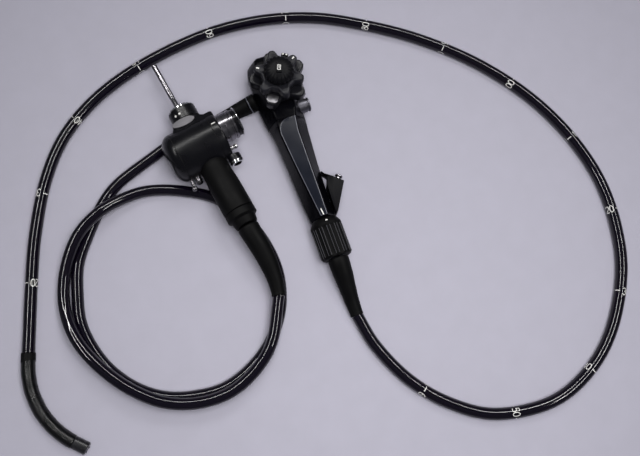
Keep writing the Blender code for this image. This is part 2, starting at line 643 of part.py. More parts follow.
def build_channel_branch():
    """Add the branch that carries the instrument channel's mouth, with its bare metal mouthpiece."""
    half = BRANCH_THICKNESS / 2.0
    side = [(0.0150, 0.0590), (0.0152, 0.0500), (0.0190, 0.0460), (0.0146, 0.0345), (0.0138, 0.0230),
            (0.0131, 0.0010), (0.0158, 0.0018), (0.0345, 0.0334), (0.0243, 0.0425), (0.0190, 0.0472),
            (0.0172, 0.0510), (0.0166, 0.0590)]
    outline = [Vector((x + GAP, GRIP_END_Y + up)) for x, up in side]
    ease = 0.0030
    middle = sum(outline, Vector((0.0, 0.0))) / len(outline)
    rings = []
    for z, scale in ((-half, 0.94), (-half + ease, 1.0), (half - ease, 1.0), (half, 0.94)):
        ring = []
        for point in outline:
            fitted = middle + (point - middle) * scale if scale < 1.0 else point
            ring.append(Vector((max(fitted.x, point.x), fitted.y, PORT_CENTRE.z + z)))
        rings.append(ring)
    branch = add_piece("channel_branch", loft(rings), "black_plastic")
    place = along(PORT_CENTRE - PORT_DIRECTION * 0.004, PORT_DIRECTION)
    cut(branch, cutter(turned(disc(PORT_NECK_RADIUS + GAP, 0.0, 0.012), 20, place), "port_seat_tool"))
    length = PORT_LENGTH
    profile = [(PORT_BORE_RADIUS, -0.003), (PORT_NECK_RADIUS, -0.003), (PORT_NECK_RADIUS, length - 0.0022),
               (PORT_FLANGE_RADIUS, length - 0.0016), (PORT_FLANGE_RADIUS, length - 0.0004),
               (PORT_FLANGE_RADIUS - 0.0004, length), (PORT_BORE_RADIUS, length)]
    add_piece("channel_mouthpiece", turned(profile, 24, along(PORT_CENTRE, PORT_DIRECTION)), "steel")


def fluted_ring(y, radius, depth):
    """Return one section of the stiffness ring, with shallow concave flutes round it."""
    steps = RING_FLUTES * 4
    points = []
    for i in range(steps):
        angle = math.tau * i / steps
        reach = radius - depth * (0.5 - 0.5 * math.cos(RING_FLUTES * angle))
        points.append(Vector((RING_AXIS_X + reach * math.cos(angle), y, RING_AXIS_Z + reach * math.sin(angle))))
    return points


def ring_ends():
    """Return the y of the stiffness ring's two ends."""
    start = GRIP_END_Y - GAP
    return start, start - RING_LENGTH


def build_ring_and_boot():
    """Add the turning stiffness ring and the tapered boot of the insertion tube."""
    start, end = ring_ends()
    bore = 0.0100
    carrier = pivot("stiffness_ring_pivot", Matrix.Identity(4))
    rings = [fluted_ring(start, RING_RADIUS - 0.0042, 0.0), fluted_ring(start - 0.0015, RING_RADIUS - 0.0030, 0.0),
             fluted_ring(start - 0.0075, RING_RADIUS, 0.0), fluted_ring(start - 0.0105, RING_RADIUS, FLUTE_DEPTH),
             fluted_ring(end + 0.0100, RING_RADIUS - 0.0012, FLUTE_DEPTH),
             fluted_ring(end + 0.0010, RING_RADIUS - 0.0020, FLUTE_DEPTH * 0.6),
             fluted_ring(end, RING_RADIUS - 0.0030, 0.0)]
    ring = add_piece("stiffness_ring", loft(rings), "soft_black", carrier)
    place = along((RING_AXIS_X, end - 0.002, RING_AXIS_Z), (0, 1, 0))
    cut(ring, cutter(turned(disc(bore, 0.0, RING_LENGTH + 0.004), 24, place), "ring_bore_tool", carrier))
    stem_place = along((RING_AXIS_X, start + 0.0, RING_AXIS_Z), (0, -1, 0))
    stem = tube(bore - GAP, 0.0055, 0.0, RING_LENGTH)
    add_piece("ring_spindle", turned(stem, 24, stem_place), "steel")
    route = [(RING_AXIS_X, end - 0.0015, RING_AXIS_Z), (RING_AXIS_X, end - 0.008, RING_AXIS_Z),
             (RING_AXIS_X, end - 0.030, 0.0143), (RING_AXIS_X, end - 0.050, 0.0094)]
    radii = [BOOT_START_RADIUS, BOOT_START_RADIUS - 0.0008, 0.0097, 0.0083, 0.0072]
    add_piece("insertion_boot", boot_mesh(route, radii, TUBE_ROUTE), "soft_black")


def build_cord_exit():
    """Add the collar and boot where the universal cord leaves the control section."""
    heading = Vector(CORD_BOOT_ROUTE[0]) - CORD_EXIT
    place = along(CORD_EXIT, heading)
    profile = disc(COLLAR_RADIUS, -0.004, COLLAR_LENGTH, 0.0006)
    collar = add_piece("cord_boot_collar", turned(profile, 28, place), "soft_black")
    face = CORD_EXIT.x + GAP
    cut(collar, cutter(box_mesh((face, -0.030, -0.010), (0.0, 0.030, 0.050)), "collar_face_tool"))
    add_piece("cord_boot", boot_mesh(CORD_BOOT_ROUTE, CORD_BOOT_RADII, CORD_ROUTE), "soft_black")


# Light connector


def connector_frame():
    """Return the connector's frame: +X across to the socket, +Y towards the light guide pin, +Z up."""
    turn = Matrix.Rotation(CONNECTOR_TURN, 4, "Z") @ Matrix.Rotation(CONNECTOR_PITCH, 4, "X")
    return Matrix.Translation(CONNECTOR_ORIGIN) @ turn


def drum_section(u, scale):
    """Return one elliptic section of the drum at u."""
    steps = 36
    return [Vector((u, DRUM_CENTRE_V + DRUM_RADIUS * scale * math.cos(math.tau * i / steps),
                    DRUM_HEIGHT * scale * math.sin(math.tau * i / steps))) for i in range(steps)]


def face_height(v):
    """Return the height of the shoulder's sloping face at v."""
    return PLATE_HEIGHT - (v - PLATE_V) * math.tan(FACE_SLOPE)


def build_connector_body(frame):
    """Add the connector's body: a drum lying across, with the shoulder and neck that carry its head."""
    ease = 0.0015
    drum = loft([drum_section(DRUM_LEFT_U, 1.0), drum_section(DRUM_RIGHT_U - ease, 1.0),
                 drum_section(DRUM_RIGHT_U, 1.0 - ease / DRUM_RADIUS)])
    body = add_piece("connector_body", drum, "black_plastic", frame)
    low = -0.0155
    right = DRUM_RIGHT_U - 0.0005
    shoulder = [(right, 0.0), (right, 0.0185), (0.0190, HEAD_BASE_V - 0.0015), (-0.0145, HEAD_BASE_V - 0.0015),
                (-0.0200, 0.0140), (-0.0200, 0.0)]
    outline = rounded(shoulder, 0.003)
    rings = [[Vector((x, y, low)) for x, y in outline], [Vector((x, y, face_height(y))) for x, y in outline]]
    cut(body, cutter(loft(rings), "shoulder_tool", frame), "UNION")
    neck_place = along((HEAD_CENTRE_U, 0.010, 0.0), (0, 1, 0))
    neck = turned(disc(HEAD_RADIUS - 0.0008, 0.0, HEAD_BASE_V - 0.010 - GAP, 0.0002), 32, neck_place)
    cut(body, cutter(neck, "neck_tool", frame), "UNION")
    cap = [drum_section(DRUM_LEFT_U - GAP, 1.0), drum_section(DRUM_LEFT_U - 0.004, 0.985),
           drum_section(DRUM_LEFT_U - 0.0075, 0.93), drum_section(DRUM_LEFT_U - 0.0105, 0.82),
           drum_section(DRUM_LEFT_U - 0.0125, 0.66), drum_section(DRUM_LEFT_U - CAP_DEPTH, 0.44)]
    add_piece("connector_cap", loft(cap), "soft_black", frame)


def build_connector_head(frame):
    """Add the head, its bright rim and face plate, and the light guide pin that stands out of it."""
    base = along((HEAD_CENTRE_U, HEAD_BASE_V, 0.0), (0, 1, 0))
    groove = 0.0006
    head = [(0.0, 0.0), (HEAD_RADIUS, 0.0), (HEAD_RADIUS, HEAD_LENGTH - 0.0048),
            (HEAD_RADIUS - groove, HEAD_LENGTH - 0.0044), (HEAD_RADIUS - groove, HEAD_LENGTH), (0.0, HEAD_LENGTH)]
    add_piece("connector_head", turned(head, 36, base), "black_plastic", frame)
    pin_offset = 0.0016
    rim_place = along((HEAD_CENTRE_U, HEAD_BASE_V + HEAD_LENGTH + GAP, 0.0), (0, 1, 0))
    rim = [(0.0, 0.0), (HEAD_RADIUS, 0.0), (HEAD_RADIUS, RIM_LENGTH * 0.55), (HEAD_RADIUS - 0.0007, RIM_LENGTH * 0.85),
           (HEAD_RADIUS - 0.0022, RIM_LENGTH), (0.0, RIM_LENGTH)]
    chrome = add_piece("chrome_rim", turned(rim, 36, rim_place), "chrome", frame)
    seat = HEAD_BASE_V + HEAD_LENGTH + GAP + RIM_LENGTH - 0.004
    pin_place = along((HEAD_CENTRE_U - pin_offset, seat, 0.0), (0, 1, 0))
    hole = turned(disc(PIN_RADIUS + GAP, 0.0, 0.012), 20, pin_place)
    cut(chrome, cutter(hole, "pin_seat_tool", frame))
    length = PIN_TIP_V - seat
    pin = [(0.0, GAP), (PIN_RADIUS, GAP), (PIN_RADIUS, length - 0.0006), (PIN_RADIUS - 0.0005, length),
           (PIN_RADIUS * 0.62, length), (PIN_RADIUS * 0.62, length - 0.0012), (0.0, length - 0.0012)]
    add_piece("light_guide_pin", turned(pin, 44, pin_place), "steel", frame)
    lie = Matrix.Rotation(-FACE_SLOPE, 4, "X") @ Matrix.Diagonal((1.0, PLATE_WIDTH / PLATE_LENGTH, 1.0, 1.0))
    plate_place = Matrix.Translation((PLATE_U, PLATE_V, PLATE_HEIGHT + 1.2 * GAP)) @ lie
    plate = disc(PLATE_LENGTH / 2.0, 0.0, PLATE_THICKNESS, 0.0003)
    add_piece("head_plate", turned(plate, 36, plate_place), "aluminium", frame)


def build_socket(frame):
    """Add the electrical socket: a steel barrel on the drum's right face, its dark rim and its contact core."""
    middle = (DRUM_RIGHT_U + GAP, 0.0, 0.0)
    place = along(middle, (1, 0, 0))
    bore = SOCKET_RADIUS - SOCKET_WALL
    core_radius = bore - SOCKET_CORE_CLEARANCE
    floor = 0.0060
    shell = [(0.0, 0.0), (SOCKET_RADIUS, 0.0), (SOCKET_RADIUS, 0.0042), (SOCKET_RADIUS - 0.0012, 0.0048),
             (SOCKET_RADIUS - 0.0012, 0.0102), (SOCKET_RADIUS, 0.0108), (SOCKET_RADIUS, SOCKET_LENGTH - 0.0003),
             (SOCKET_RADIUS - 0.0003, SOCKET_LENGTH), (bore, SOCKET_LENGTH), (bore, floor), (0.0, floor)]
    add_piece("socket_shell", turned(shell, 36, place), "steel", frame)
    core = [(0.0, floor + GAP), (core_radius, floor + GAP), (core_radius, floor + 0.0040),
            (core_radius - 0.0005, floor + 0.0045), (0.0, floor + 0.0045)]
    add_piece("socket_core", turned(core, 28, place), "gloss_black", frame)
    rim_low = SOCKET_LENGTH + GAP
    rim = tube(SOCKET_RADIUS + 0.0002, bore, rim_low, rim_low + SOCKET_RIM_LENGTH, 0.0006)
    add_piece("socket_rim", turned(rim, 36, place), "gloss_black", frame)


def build_side_fittings(frame):
    """Add the side port with its bright lip, the vent stud and the two small fittings by the sleeve."""
    port_v = drum_back(0.0) - GAP
    place = along((SIDE_PORT_U, port_v, 0.002), (0, -1, 0))
    body = tube(SIDE_PORT_RADIUS, SIDE_PORT_BORE_RADIUS, 0.0, 0.0062)
    add_piece("side_port", turned(body, 28, place), "black_plastic", frame)
    lip = tube(SIDE_PORT_RADIUS + 0.0004, SIDE_PORT_BORE_RADIUS, 0.0062 + GAP, 0.0092, 0.0006)
    add_piece("side_port_lip", turned(lip, 28, place), "chrome", frame)
    stud_place = along((DRUM_RIGHT_U + GAP, -(SOCKET_RADIUS + STUD_OFFSET), 0.002), (1, 0, 0))
    stud = [(0.0, 0.0), (0.0028, 0.0), (0.0028, 0.0024), (0.0018, 0.0028), (0.0018, 0.0050), (0.0024, 0.0054),
            (0.0024, 0.0066), (0.0, 0.0070)]
    add_piece("vent_stud", turned(stud, 20, stud_place), "steel", frame)
    build_earth_post(frame)


def drum_back(z, clearance=GAP):
    """Return the v of the drum's skin on its cord side at height z."""
    return DRUM_CENTRE_V - DRUM_RADIUS * math.sqrt(1.0 - (z / DRUM_HEIGHT) ** 2) - clearance


def build_earth_post(frame):
    """Add the suction nipple and the earth post with its cross head, on the drum's cord side."""
    z = -0.004
    nipple_place = along((-0.0186, drum_back(0.0), z), (0, -1, 0))
    nipple = [(0.0, 0.0), (0.0036, 0.0), (0.0036, 0.0018), (0.0026, 0.0024), (0.0026, 0.0050), (0.0033, 0.0056),
              (0.0026, 0.0085), (0.0, 0.0085)]
    add_piece("suction_nipple", turned(nipple, 20, nipple_place), "steel", frame)
    post_place = along((-0.0252, drum_back(0.0), z), (-0.12, -1, 0))
    post = [(0.0, 0.0008), (0.0024, 0.0008), (0.0024, 0.0022), (0.0013, 0.0026), (0.0013, 0.0120), (0.0022, 0.0128),
            (0.0028, 0.0150), (0.0020, 0.0172), (0.0, 0.0178)]
    add_piece("earth_post", turned(post, 16, post_place), "steel", frame)


def build_sleeve(frame):
    """Add the long sleeve, its grooved ring and the curved boot that the cord enters."""
    z = 0.0
    start = drum_back(z) + 0.0105
    seat = along((SLEEVE_U, start, z), (0, -1, 0))
    length = start - SLEEVE_END_V
    profile = [(0.0, 0.0), (SLEEVE_START_RADIUS - 0.003, 0.0), (SLEEVE_START_RADIUS, 0.010),
               (SLEEVE_START_RADIUS, 0.022), (SLEEVE_END_RADIUS, 0.034), (SLEEVE_END_RADIUS, length), (0.0, length)]
    sleeve = add_piece("connector_sleeve", turned(profile, 36, seat), "soft_black", frame)
    shadow = loft([drum_section(-0.05, 1.0 + GAP / DRUM_RADIUS), drum_section(0.05, 1.0 + GAP / DRUM_RADIUS)])
    cut(sleeve, cutter(shadow, "sleeve_seat_tool", frame))
    ring_place = along((SLEEVE_U, SLEEVE_END_V - GAP, z), (0, -1, 0))
    ring = [(0.0, 0.0), (SLEEVE_END_RADIUS - 0.0004, 0.0), (SLEEVE_END_RADIUS, 0.0006),
            (SLEEVE_END_RADIUS, 0.0085), (SLEEVE_END_RADIUS - 0.0030, 0.0100), (0.0132, SLEEVE_RING_LENGTH - 0.001),
            (0.0125, SLEEVE_RING_LENGTH), (0.0, SLEEVE_RING_LENGTH)]
    add_piece("connector_ring", turned(ring, 36, ring_place), "soft_black", frame)
    boot = boot_mesh(CONNECTOR_BOOT_ROUTE, CONNECTOR_BOOT_RADII, CORD_ROUTE, far=True)
    add_piece("connector_boot", boot, "soft_black")


def build_connector():
    """Add the whole connector under one empty that sets how it lies."""
    frame = pivot("connector_frame", connector_frame())
    build_connector_body(frame)
    build_connector_head(frame)
    build_socket(frame)
    build_side_fittings(frame)
    build_sleeve(frame)


# Bending section


def bend_start():
    """Return the frame at the insertion tube's far end: +X along the tube, +Y to its left and +Z up."""
    end = Vector(TUBE_ROUTE[-1])
    heading = end - Vector(TUBE_ROUTE[-2])
    turn = math.atan2(heading.y, heading.x)
    return Matrix.Translation(end) @ Matrix.Rotation(turn, 4, "Z")


def hinge_axis(index):
    """Return the hinge axis of a joint in its ring's frame; the two sorts stand square to each other."""
    if index % 2 == 0:
        return Vector((0.0, -math.cos(HINGE_TILT), math.sin(HINGE_TILT)))
    return Vector((0.0, -math.sin(HINGE_TILT), -math.cos(HINGE_TILT)))


def rest_angle(index):
    """Return how far a joint is turned at rest; the first one starts with half a turn, to keep the run level."""
    if index % 2:
        return -BEND_REST
    return BEND_REST * (0.5 if index == 0 else 1.0)


COLLAR_START = 0.0003
COLLAR_LENGTH_ON_TUBE = 0.0062


def joint_frames():
    """Return the frame at each joint of the bending section, after its own rest turn."""
    place = bend_start() @ Matrix.Translation((COLLAR_START + COLLAR_LENGTH_ON_TUBE + 0.0045, 0.0, 0.0))
    frames = []
    for index in range(BEND_RINGS):
        place = place @ Matrix.Rotation(rest_angle(index), 4, hinge_axis(index))
        frames.append(place)
        place = place @ Matrix.Translation((BEND_PITCH, 0.0, 0.0))
    return frames


def wedge_end(angle, radius, axis, outward):
    """Return how far a ring's end is cut back at an angle round it, for a hinge along axis."""
    point = Vector((0.0, math.cos(angle) * radius, math.sin(angle) * radius))
    from_hinge = abs(point.cross(Vector(axis).normalized()).x)
    return outward * (from_hinge * math.tan(BEND_WEDGE) + GAP / 2.0)


def ring_skin(radius, low, high, low_axis, high_axis, steps):
    """Return the two end outlines of a tube wall whose ends are cut to wedges about their hinge axes."""
    near, far = [], []
    for i in range(steps):
        angle = math.tau * i / steps
        y, z = math.cos(angle) * radius, math.sin(angle) * radius
        near_x = low + wedge_end(angle, radius, low_axis, 1.0) if low_axis else low
        far_x = high + wedge_end(angle, radius, high_axis, -1.0) if high_axis else high
        near.append(Vector((near_x, y, z)))
        far.append(Vector((far_x, y, z)))
    return near, far


def ring_mesh(outer, inner, low, high, low_axis=None, high_axis=None, steps=24):
    """Return a closed tube wall between two ends, each flat or cut to a wedge about its hinge axis."""
    near, far = ring_skin(outer, low, high, low_axis, high_axis, steps)
    near_in, far_in = ring_skin(inner, low, high, low_axis, high_axis, steps)
    mesh = bmesh.new()
    loops = [[mesh.verts.new(point) for point in ring] for ring in (near, far, far_in, near_in)]
    for a in range(4):
        first, second = loops[a], loops[(a + 1) % 4]
        for i in range(steps):
            mesh.faces.new((first[i - 1], first[i], second[i], second[i - 1]))
    return mesh


def build_bending_section():
    """Add the collar, the hinged rings and the distal tip, each under an empty on its own joint."""
    start = pivot("bending_root", bend_start())
    frames = joint_frames()
    collar_end = COLLAR_START + COLLAR_LENGTH_ON_TUBE
    joint_x = collar_end + 0.0045
    collar = ring_mesh(BEND_COLLAR_RADIUS, BEND_RING_BORE, COLLAR_START, joint_x, None, hinge_axis(0))
    add_piece("bending_collar", collar, "soft_black", start)
    for index in range(BEND_RINGS):
        here = pivot(f"bend_joint_{index + 1:02d}", frames[index])
        if index < BEND_RINGS - 1:
            mesh = ring_mesh(BEND_RING_RADIUS, BEND_RING_BORE, 0.0, BEND_PITCH, hinge_axis(index),
                             hinge_axis(index + 1))
            add_piece(f"bending_ring_{index + 1:02d}", mesh, "soft_black", here)
        else:
            build_tip(here, index)


def build_tip(carrier, index):
    """Add the last ring, the distal tip with its channel, and the lenses and nozzle set in its face."""
    seat = 0.0048
    mesh = ring_mesh(BEND_RING_RADIUS, BEND_RING_BORE, 0.0, seat, hinge_axis(index), None)
    add_piece(f"bending_ring_{index + 1:02d}", mesh, "soft_black", carrier)
    face = seat + TIP_LENGTH
    place = along((0.0, 0.0, 0.0), (1, 0, 0))
    profile = disc(TIP_RADIUS, seat + GAP, face, 0.0008)
    tip = add_piece("distal_tip", turned(profile, 32, place), "panel_grey", carrier)
    seats = {"channel_bore": ((-0.0026, -0.0021), CHANNEL_RADIUS, 0.0120),
             "objective_lens": ((0.0010, 0.0030), LENS_RADIUS, 0.0015),
             "light_lens_left": ((-0.0035, 0.0028), LENS_RADIUS * 0.8, 0.0015),
             "light_lens_right": ((0.0040, -0.0014), LENS_RADIUS * 0.8, 0.0015),
             "water_nozzle": ((0.0014, -0.0038), 0.0009, 0.0015)}
    for name, ((across, up), radius, depth) in seats.items():
        spot = along((face - depth, across, up), (1, 0, 0))
        hole = turned(disc(radius + GAP, 0.0, depth + 0.002, 0.0001), 16, spot)
        cut(tip, cutter(hole, name + "_seat_tool", carrier))
        if name == "channel_bore":
            continue
        proud = 0.0008 if name == "water_nozzle" else -0.0001
        look = "steel" if name == "water_nozzle" else "glass"
        plug = turned(disc(radius, GAP, depth + proud, 0.0002), 16, spot)
        add_piece(name, plug, look, carrier)


def main():
    """Clear the scene and build every piece."""
    for old in list(bpy.data.objects):
        bpy.data.objects.remove(old, do_unlink=True)
    build_head()
    build_grip()
    build_switches()
    build_valves()
    build_knobs()
    build_channel_branch()
    build_ring_and_boot()
    build_cord_exit()
    build_connector()
    cord_piece("insertion_tube", TUBE_ROUTE, TUBE_DIAMETER, "gloss_black")
    cord_piece("universal_cord", CORD_ROUTE, CORD_DIAMETER, "gloss_black")
    build_bending_section()


main()
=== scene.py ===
"""Flexible endoscope on a pale table: finished surfaces, cords, marks, camera and light over the frame.

Lengths are in metres in the row frame: +Z up, -Y along the grip, +X the valve side.
"""

import json
import logging
import math
from dataclasses import dataclass
from enum import Enum
from typing import Callable, ClassVar, Iterable, Optional, Sequence

import bmesh
import bpy
from mathutils import Matrix, Vector

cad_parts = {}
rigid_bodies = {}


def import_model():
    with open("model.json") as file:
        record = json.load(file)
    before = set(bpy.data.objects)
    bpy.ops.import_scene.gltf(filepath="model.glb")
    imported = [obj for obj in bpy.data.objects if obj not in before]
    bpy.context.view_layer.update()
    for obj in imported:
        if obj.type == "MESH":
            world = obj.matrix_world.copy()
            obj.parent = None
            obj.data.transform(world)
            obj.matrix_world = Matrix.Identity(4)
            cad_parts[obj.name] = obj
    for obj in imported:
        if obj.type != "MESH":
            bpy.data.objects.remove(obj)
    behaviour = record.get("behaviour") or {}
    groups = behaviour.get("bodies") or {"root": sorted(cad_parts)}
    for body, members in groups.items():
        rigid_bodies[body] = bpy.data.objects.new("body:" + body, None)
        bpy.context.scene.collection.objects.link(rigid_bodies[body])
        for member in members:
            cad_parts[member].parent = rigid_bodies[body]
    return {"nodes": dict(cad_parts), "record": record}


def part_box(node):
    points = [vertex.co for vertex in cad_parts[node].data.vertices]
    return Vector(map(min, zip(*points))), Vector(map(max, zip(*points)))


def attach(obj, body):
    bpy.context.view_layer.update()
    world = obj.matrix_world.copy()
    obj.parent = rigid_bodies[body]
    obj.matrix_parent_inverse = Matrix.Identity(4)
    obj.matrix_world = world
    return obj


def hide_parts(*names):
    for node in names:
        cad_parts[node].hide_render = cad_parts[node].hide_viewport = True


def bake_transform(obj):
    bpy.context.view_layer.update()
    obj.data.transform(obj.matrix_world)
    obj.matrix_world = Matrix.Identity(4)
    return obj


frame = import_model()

LOG = logging.getLogger("endoscope")
MM = 0.001
WELD = 2e-7
Point = tuple[float, float, float]


class Body(str, Enum):
    """Bodies of the frame that pieces ride on."""

    SCOPE = "scope"
    UD_LOCK = "ud_lock"
    UD_CONTROL = "ud_control"
    RL_CONTROL = "rl_control"
    RL_LOCK = "rl_lock"
    STIFFNESS = "stiffness"


@dataclass(frozen=True)
class Finish:
    """Looks of one material.

    Attributes:
        hex: sRGB colour as six hex digits.
        roughness: mean microfacet roughness.
        metallic: 0 for plastics and rubber, 1 for metals.
        ior: index of refraction.
        coat: weight of a clear top layer.
        grain_mm: size of the surface grain, in millimetres. Most real grain is finer, and is drawn this
            coarse so that the render shows it.
        grain_um: height of that grain, in micrometres.
        sweep: change of roughness from place to place.
        tint: change of brightness from place to place.
        stretch: how much longer the grain is along X, Y and Z.
    """

    hex: str
    roughness: float
    metallic: float = 0.0
    ior: float = 1.5
    coat: float = 0.0
    grain_mm: float = 0.5
    grain_um: float = 12.0
    sweep: float = 0.06
    tint: float = 0.08
    stretch: tuple[float, float, float] = (1.0, 1.0, 1.0)


FINISHES: dict[str, Finish] = {
    # Moulded polyphenylene: nearly black, with a broad faint sheen and a fine tool texture.
    "polyphenylene_moulded": Finish("07070B", 0.27, ior=1.17, grain_mm=0.45, grain_um=6.0),
    # Moulded polysulphone of the connector: smoother, so the lamps draw a clear line along the drum.
    "polysulphone_moulded": Finish("0C0C10", 0.28, ior=1.31, grain_um=6.0),
    # The channel branch's moulding is duller than the grip it stands on.
    "polyphenylene_satin": Finish("0B0B0F", 0.40, ior=1.15, grain_mm=0.45, grain_um=6.0),
    # Lacquered ABS panel: blue-grey, with a slow waviness that bends its highlight.
    "abs_lacquered": Finish("171A24", 0.22, ior=1.30, grain_mm=3.0, grain_um=3.0, sweep=0.04),
    # Bare edge of the lacquered panel, which catches the light as a thin pale line.
    # Pale grey on thin strips along the panel's edges: a painted highlight for the light that the edges
    # catch. The pale line at the cord's exit collar takes it too.
    "pale_line_painted_highlight": Finish("5C5E69", 0.35, grain_mm=2.0, grain_um=2.0),
    # Moulded silicone rubber: matt, with almost no mirror image.
    "silicone_moulded": Finish("080809", 0.56, ior=1.18, grain_mm=0.35, grain_um=8.0, sweep=0.08),
    # Polished ABS of the lower knob: soft bright patches on its lobes.
    "abs_polished": Finish("151519", 0.32, ior=1.28, grain_mm=0.8, grain_um=4.0),
    # Satin ABS of the upper knob: a touch lighter and more even than the lower one.
    "abs_satin": Finish("1F1F24", 0.40, ior=1.26, grain_mm=0.4, grain_um=7.0),
    # Matt ABS of the lock knob: dark, so that its flutes read as fine lines.
    "abs_matt": Finish("0C0C0F", 0.42, ior=1.18, grain_mm=0.4, grain_um=7.0),
    # Grey on the ring's fine ribs: a painted highlight for the light lines along the flutes' edges, greyer
    # than the rest of the ring.
    "silicone_painted_highlight": Finish("3C3C42", 0.40, ior=1.45, grain_mm=0.4, grain_um=4.0),
    # Extruded polyurethane jacket: wet-looking black; the coarse wave makes its long highlights waver.
    "polyurethane_extruded": Finish("0A0612", 0.06, ior=1.46, grain_mm=5.0, grain_um=7.0, sweep=0.02),
    # Moulded fluororubber of the bending section: softer highlights than the jacket beside it.
    "fluororubber_moulded": Finish("08080A", 0.28, ior=1.40, sweep=0.08),
    # Turned stainless steel with a fine lathe finish.
    "stainless_turned": Finish("C4C3C3", 0.25, 1.0, grain_mm=0.3, grain_um=0.5, tint=0.05),
    # Blasted stainless steel of the valve cylinders: dull grey without a clear image.
    "stainless_blasted": Finish("6A6970", 0.42, 1.0, grain_mm=0.3, grain_um=0.5),
    # Ground stainless steel of barrel, pin and fittings: darker than chrome, with crisp bands.
    "stainless_ground": Finish("7C7A7E", 0.24, 1.0, grain_mm=0.3, grain_um=0.6),
    # Polished chrome plate: a near mirror.
    "chrome_polished": Finish("DADADB", 0.09, 1.0, grain_mm=2.0, grain_um=0.5, sweep=0.03, tint=0.03),
    # Brushed aluminium plates: satin, with the grain drawn out along X.
    "aluminium_brushed": Finish("A4A2A6", 0.42, 1.0, grain_mm=0.25, grain_um=2.0, stretch=(24.0, 1.0, 1.0)),
    # Printed white ink: flat and even.
    "ink_printed": Finish("E9E8E4", 0.50, grain_mm=0.3, grain_um=4.0, tint=0.03),
    # Near-black on thin bands over the seams between mouldings: painted shade in the gaps.
    "seam_painted_shade": Finish("030304", 0.70, ior=1.35, grain_mm=0.4, grain_um=4.0),
    # Machined polysulphone tip: dark grey and smooth.
    "polysulphone_machined": Finish("1B1B1F", 0.30, grain_um=5.0),
    # Polished sapphire lens faces: almost black, with a sharp glint.
    "sapphire_polished": Finish("10141C", 0.04, ior=1.77, coat=1.0, grain_mm=2.0, grain_um=0.2, sweep=0.0),
    # Pale laminate table top: slightly violet and matt.
    "laminate_matt": Finish("B7B5C3", 0.62, ior=1.25, grain_mm=1.6, grain_um=6.0, tint=0.02),
}

NODE_FINISHES: dict[str, str] = {
    "black_plastic": "polyphenylene_moulded", "gloss_black": "polysulphone_moulded",
    "soft_black": "silicone_moulded", "panel_grey": "polysulphone_machined", "steel": "stainless_turned",
    "chrome": "chrome_polished", "aluminium": "aluminium_brushed", "glass": "sapphire_polished",
}


class Palette:
    """Makes each procedural material once, on first use."""

    COAT_ROUGHNESS = 0.06
    DRIFT_SCALE = 38.0
    DRIFT_RANGE = (0.3, 0.7)

    def __init__(self) -> None:
        """Start with no material made."""
        self._made: dict[str, bpy.types.Material] = {}

    def __getitem__(self, name: str) -> bpy.types.Material:
        """Return a finish's material, and make it when it is first asked for.

        Args:
            name: the finish's name.

        Returns:
            The material.
        """
        if name not in self._made:
            self._made[name] = self._build(name, FINISHES[name])
        return self._made[name]

    @staticmethod
    def linear(hex_colour: str) -> tuple[float, float, float, float]:
        """Turn an sRGB hex colour into linear RGBA.

        Args:
            hex_colour: six hex digits.

        Returns:
            Red, green and blue, and 1 for alpha.
        """
        parts = [int(hex_colour[i:i + 2], 16) / 255.0 for i in (0, 2, 4)]
        red, green, blue = (c / 12.92 if c <= 0.04045 else ((c + 0.055) / 1.055) ** 2.4 for c in parts)
        return red, green, blue, 1.0

    @staticmethod
    def node(tree: bpy.types.NodeTree, kind: str, **inputs: object) -> bpy.types.Node:
        """Add a node and set its inputs by name.

        Args:
            tree: node tree to add to.
            kind: Blender's node type.
            inputs: socket values, or output sockets to link from; underscores stand for spaces.

        Returns:
            The new node.
        """
        made = tree.nodes.new(kind)
        for key, value in inputs.items():
            socket = made.inputs[key.replace("_", " ")]
            if isinstance(value, bpy.types.NodeSocket):
                tree.links.new(value, socket)
            else:
                socket.default_value = value
        return made

    def _build(self, name: str, look: Finish) -> bpy.types.Material:
        """Build one Principled material with its own grain, roughness drift and tint drift.

        Args:
            name: the finish's name.
            look: the finish.

        Returns:
            The material.
        """
        material = bpy.data.materials.new(name)
        material.use_nodes = True
        tree = material.node_tree
        shader = tree.nodes["Principled BSDF"]
        for socket, value in (("Metallic", look.metallic), ("IOR", look.ior), ("Coat Weight", look.coat),
                              ("Coat Roughness", self.COAT_ROUGHNESS)):
            shader.inputs[socket].default_value = value
        coords = self.node(tree, "ShaderNodeTexCoord")
        mapping = self.node(tree, "ShaderNodeMapping", Vector=coords.outputs["Object"])
        mapping.inputs["Scale"].default_value = [1.0 / s for s in look.stretch]
        grain = self.node(tree, "ShaderNodeTexNoise", Vector=mapping.outputs["Vector"],
                          Scale=1.0 / (look.grain_mm * MM), Detail=3.0, Roughness=0.55)
        drift = self.node(tree, "ShaderNodeTexNoise", Vector=coords.outputs["Object"], Scale=self.DRIFT_SCALE,
                          Detail=3.0, Roughness=0.5)
        low, high = self.DRIFT_RANGE
        rough = self.node(tree, "ShaderNodeMapRange", Value=drift.outputs["Fac"], From_Min=low, From_Max=high,
                          To_Min=max(0.02, look.roughness - look.sweep), To_Max=look.roughness + look.sweep)
        tree.links.new(rough.outputs["Result"], shader.inputs["Roughness"])
        ramp = self.node(tree, "ShaderNodeValToRGB", Fac=drift.outputs["Fac"])
        shares = (1.0 - look.tint, 1.0 + look.tint)
        for stop, position, share in zip(ramp.color_ramp.elements, (low, high), shares):
            stop.position = position
            stop.color = (*(min(1.0, c * share) for c in self.linear(look.hex)[:3]), 1.0)
        tree.links.new(ramp.outputs["Color"], shader.inputs["Base Color"])
        bump = self.node(tree, "ShaderNodeBump", Height=grain.outputs["Fac"], Strength=1.0,
                         Distance=look.grain_um * 1e-6)
        tree.links.new(bump.outputs["Normal"], shader.inputs["Normal"])
        return material


PALETTE = Palette()


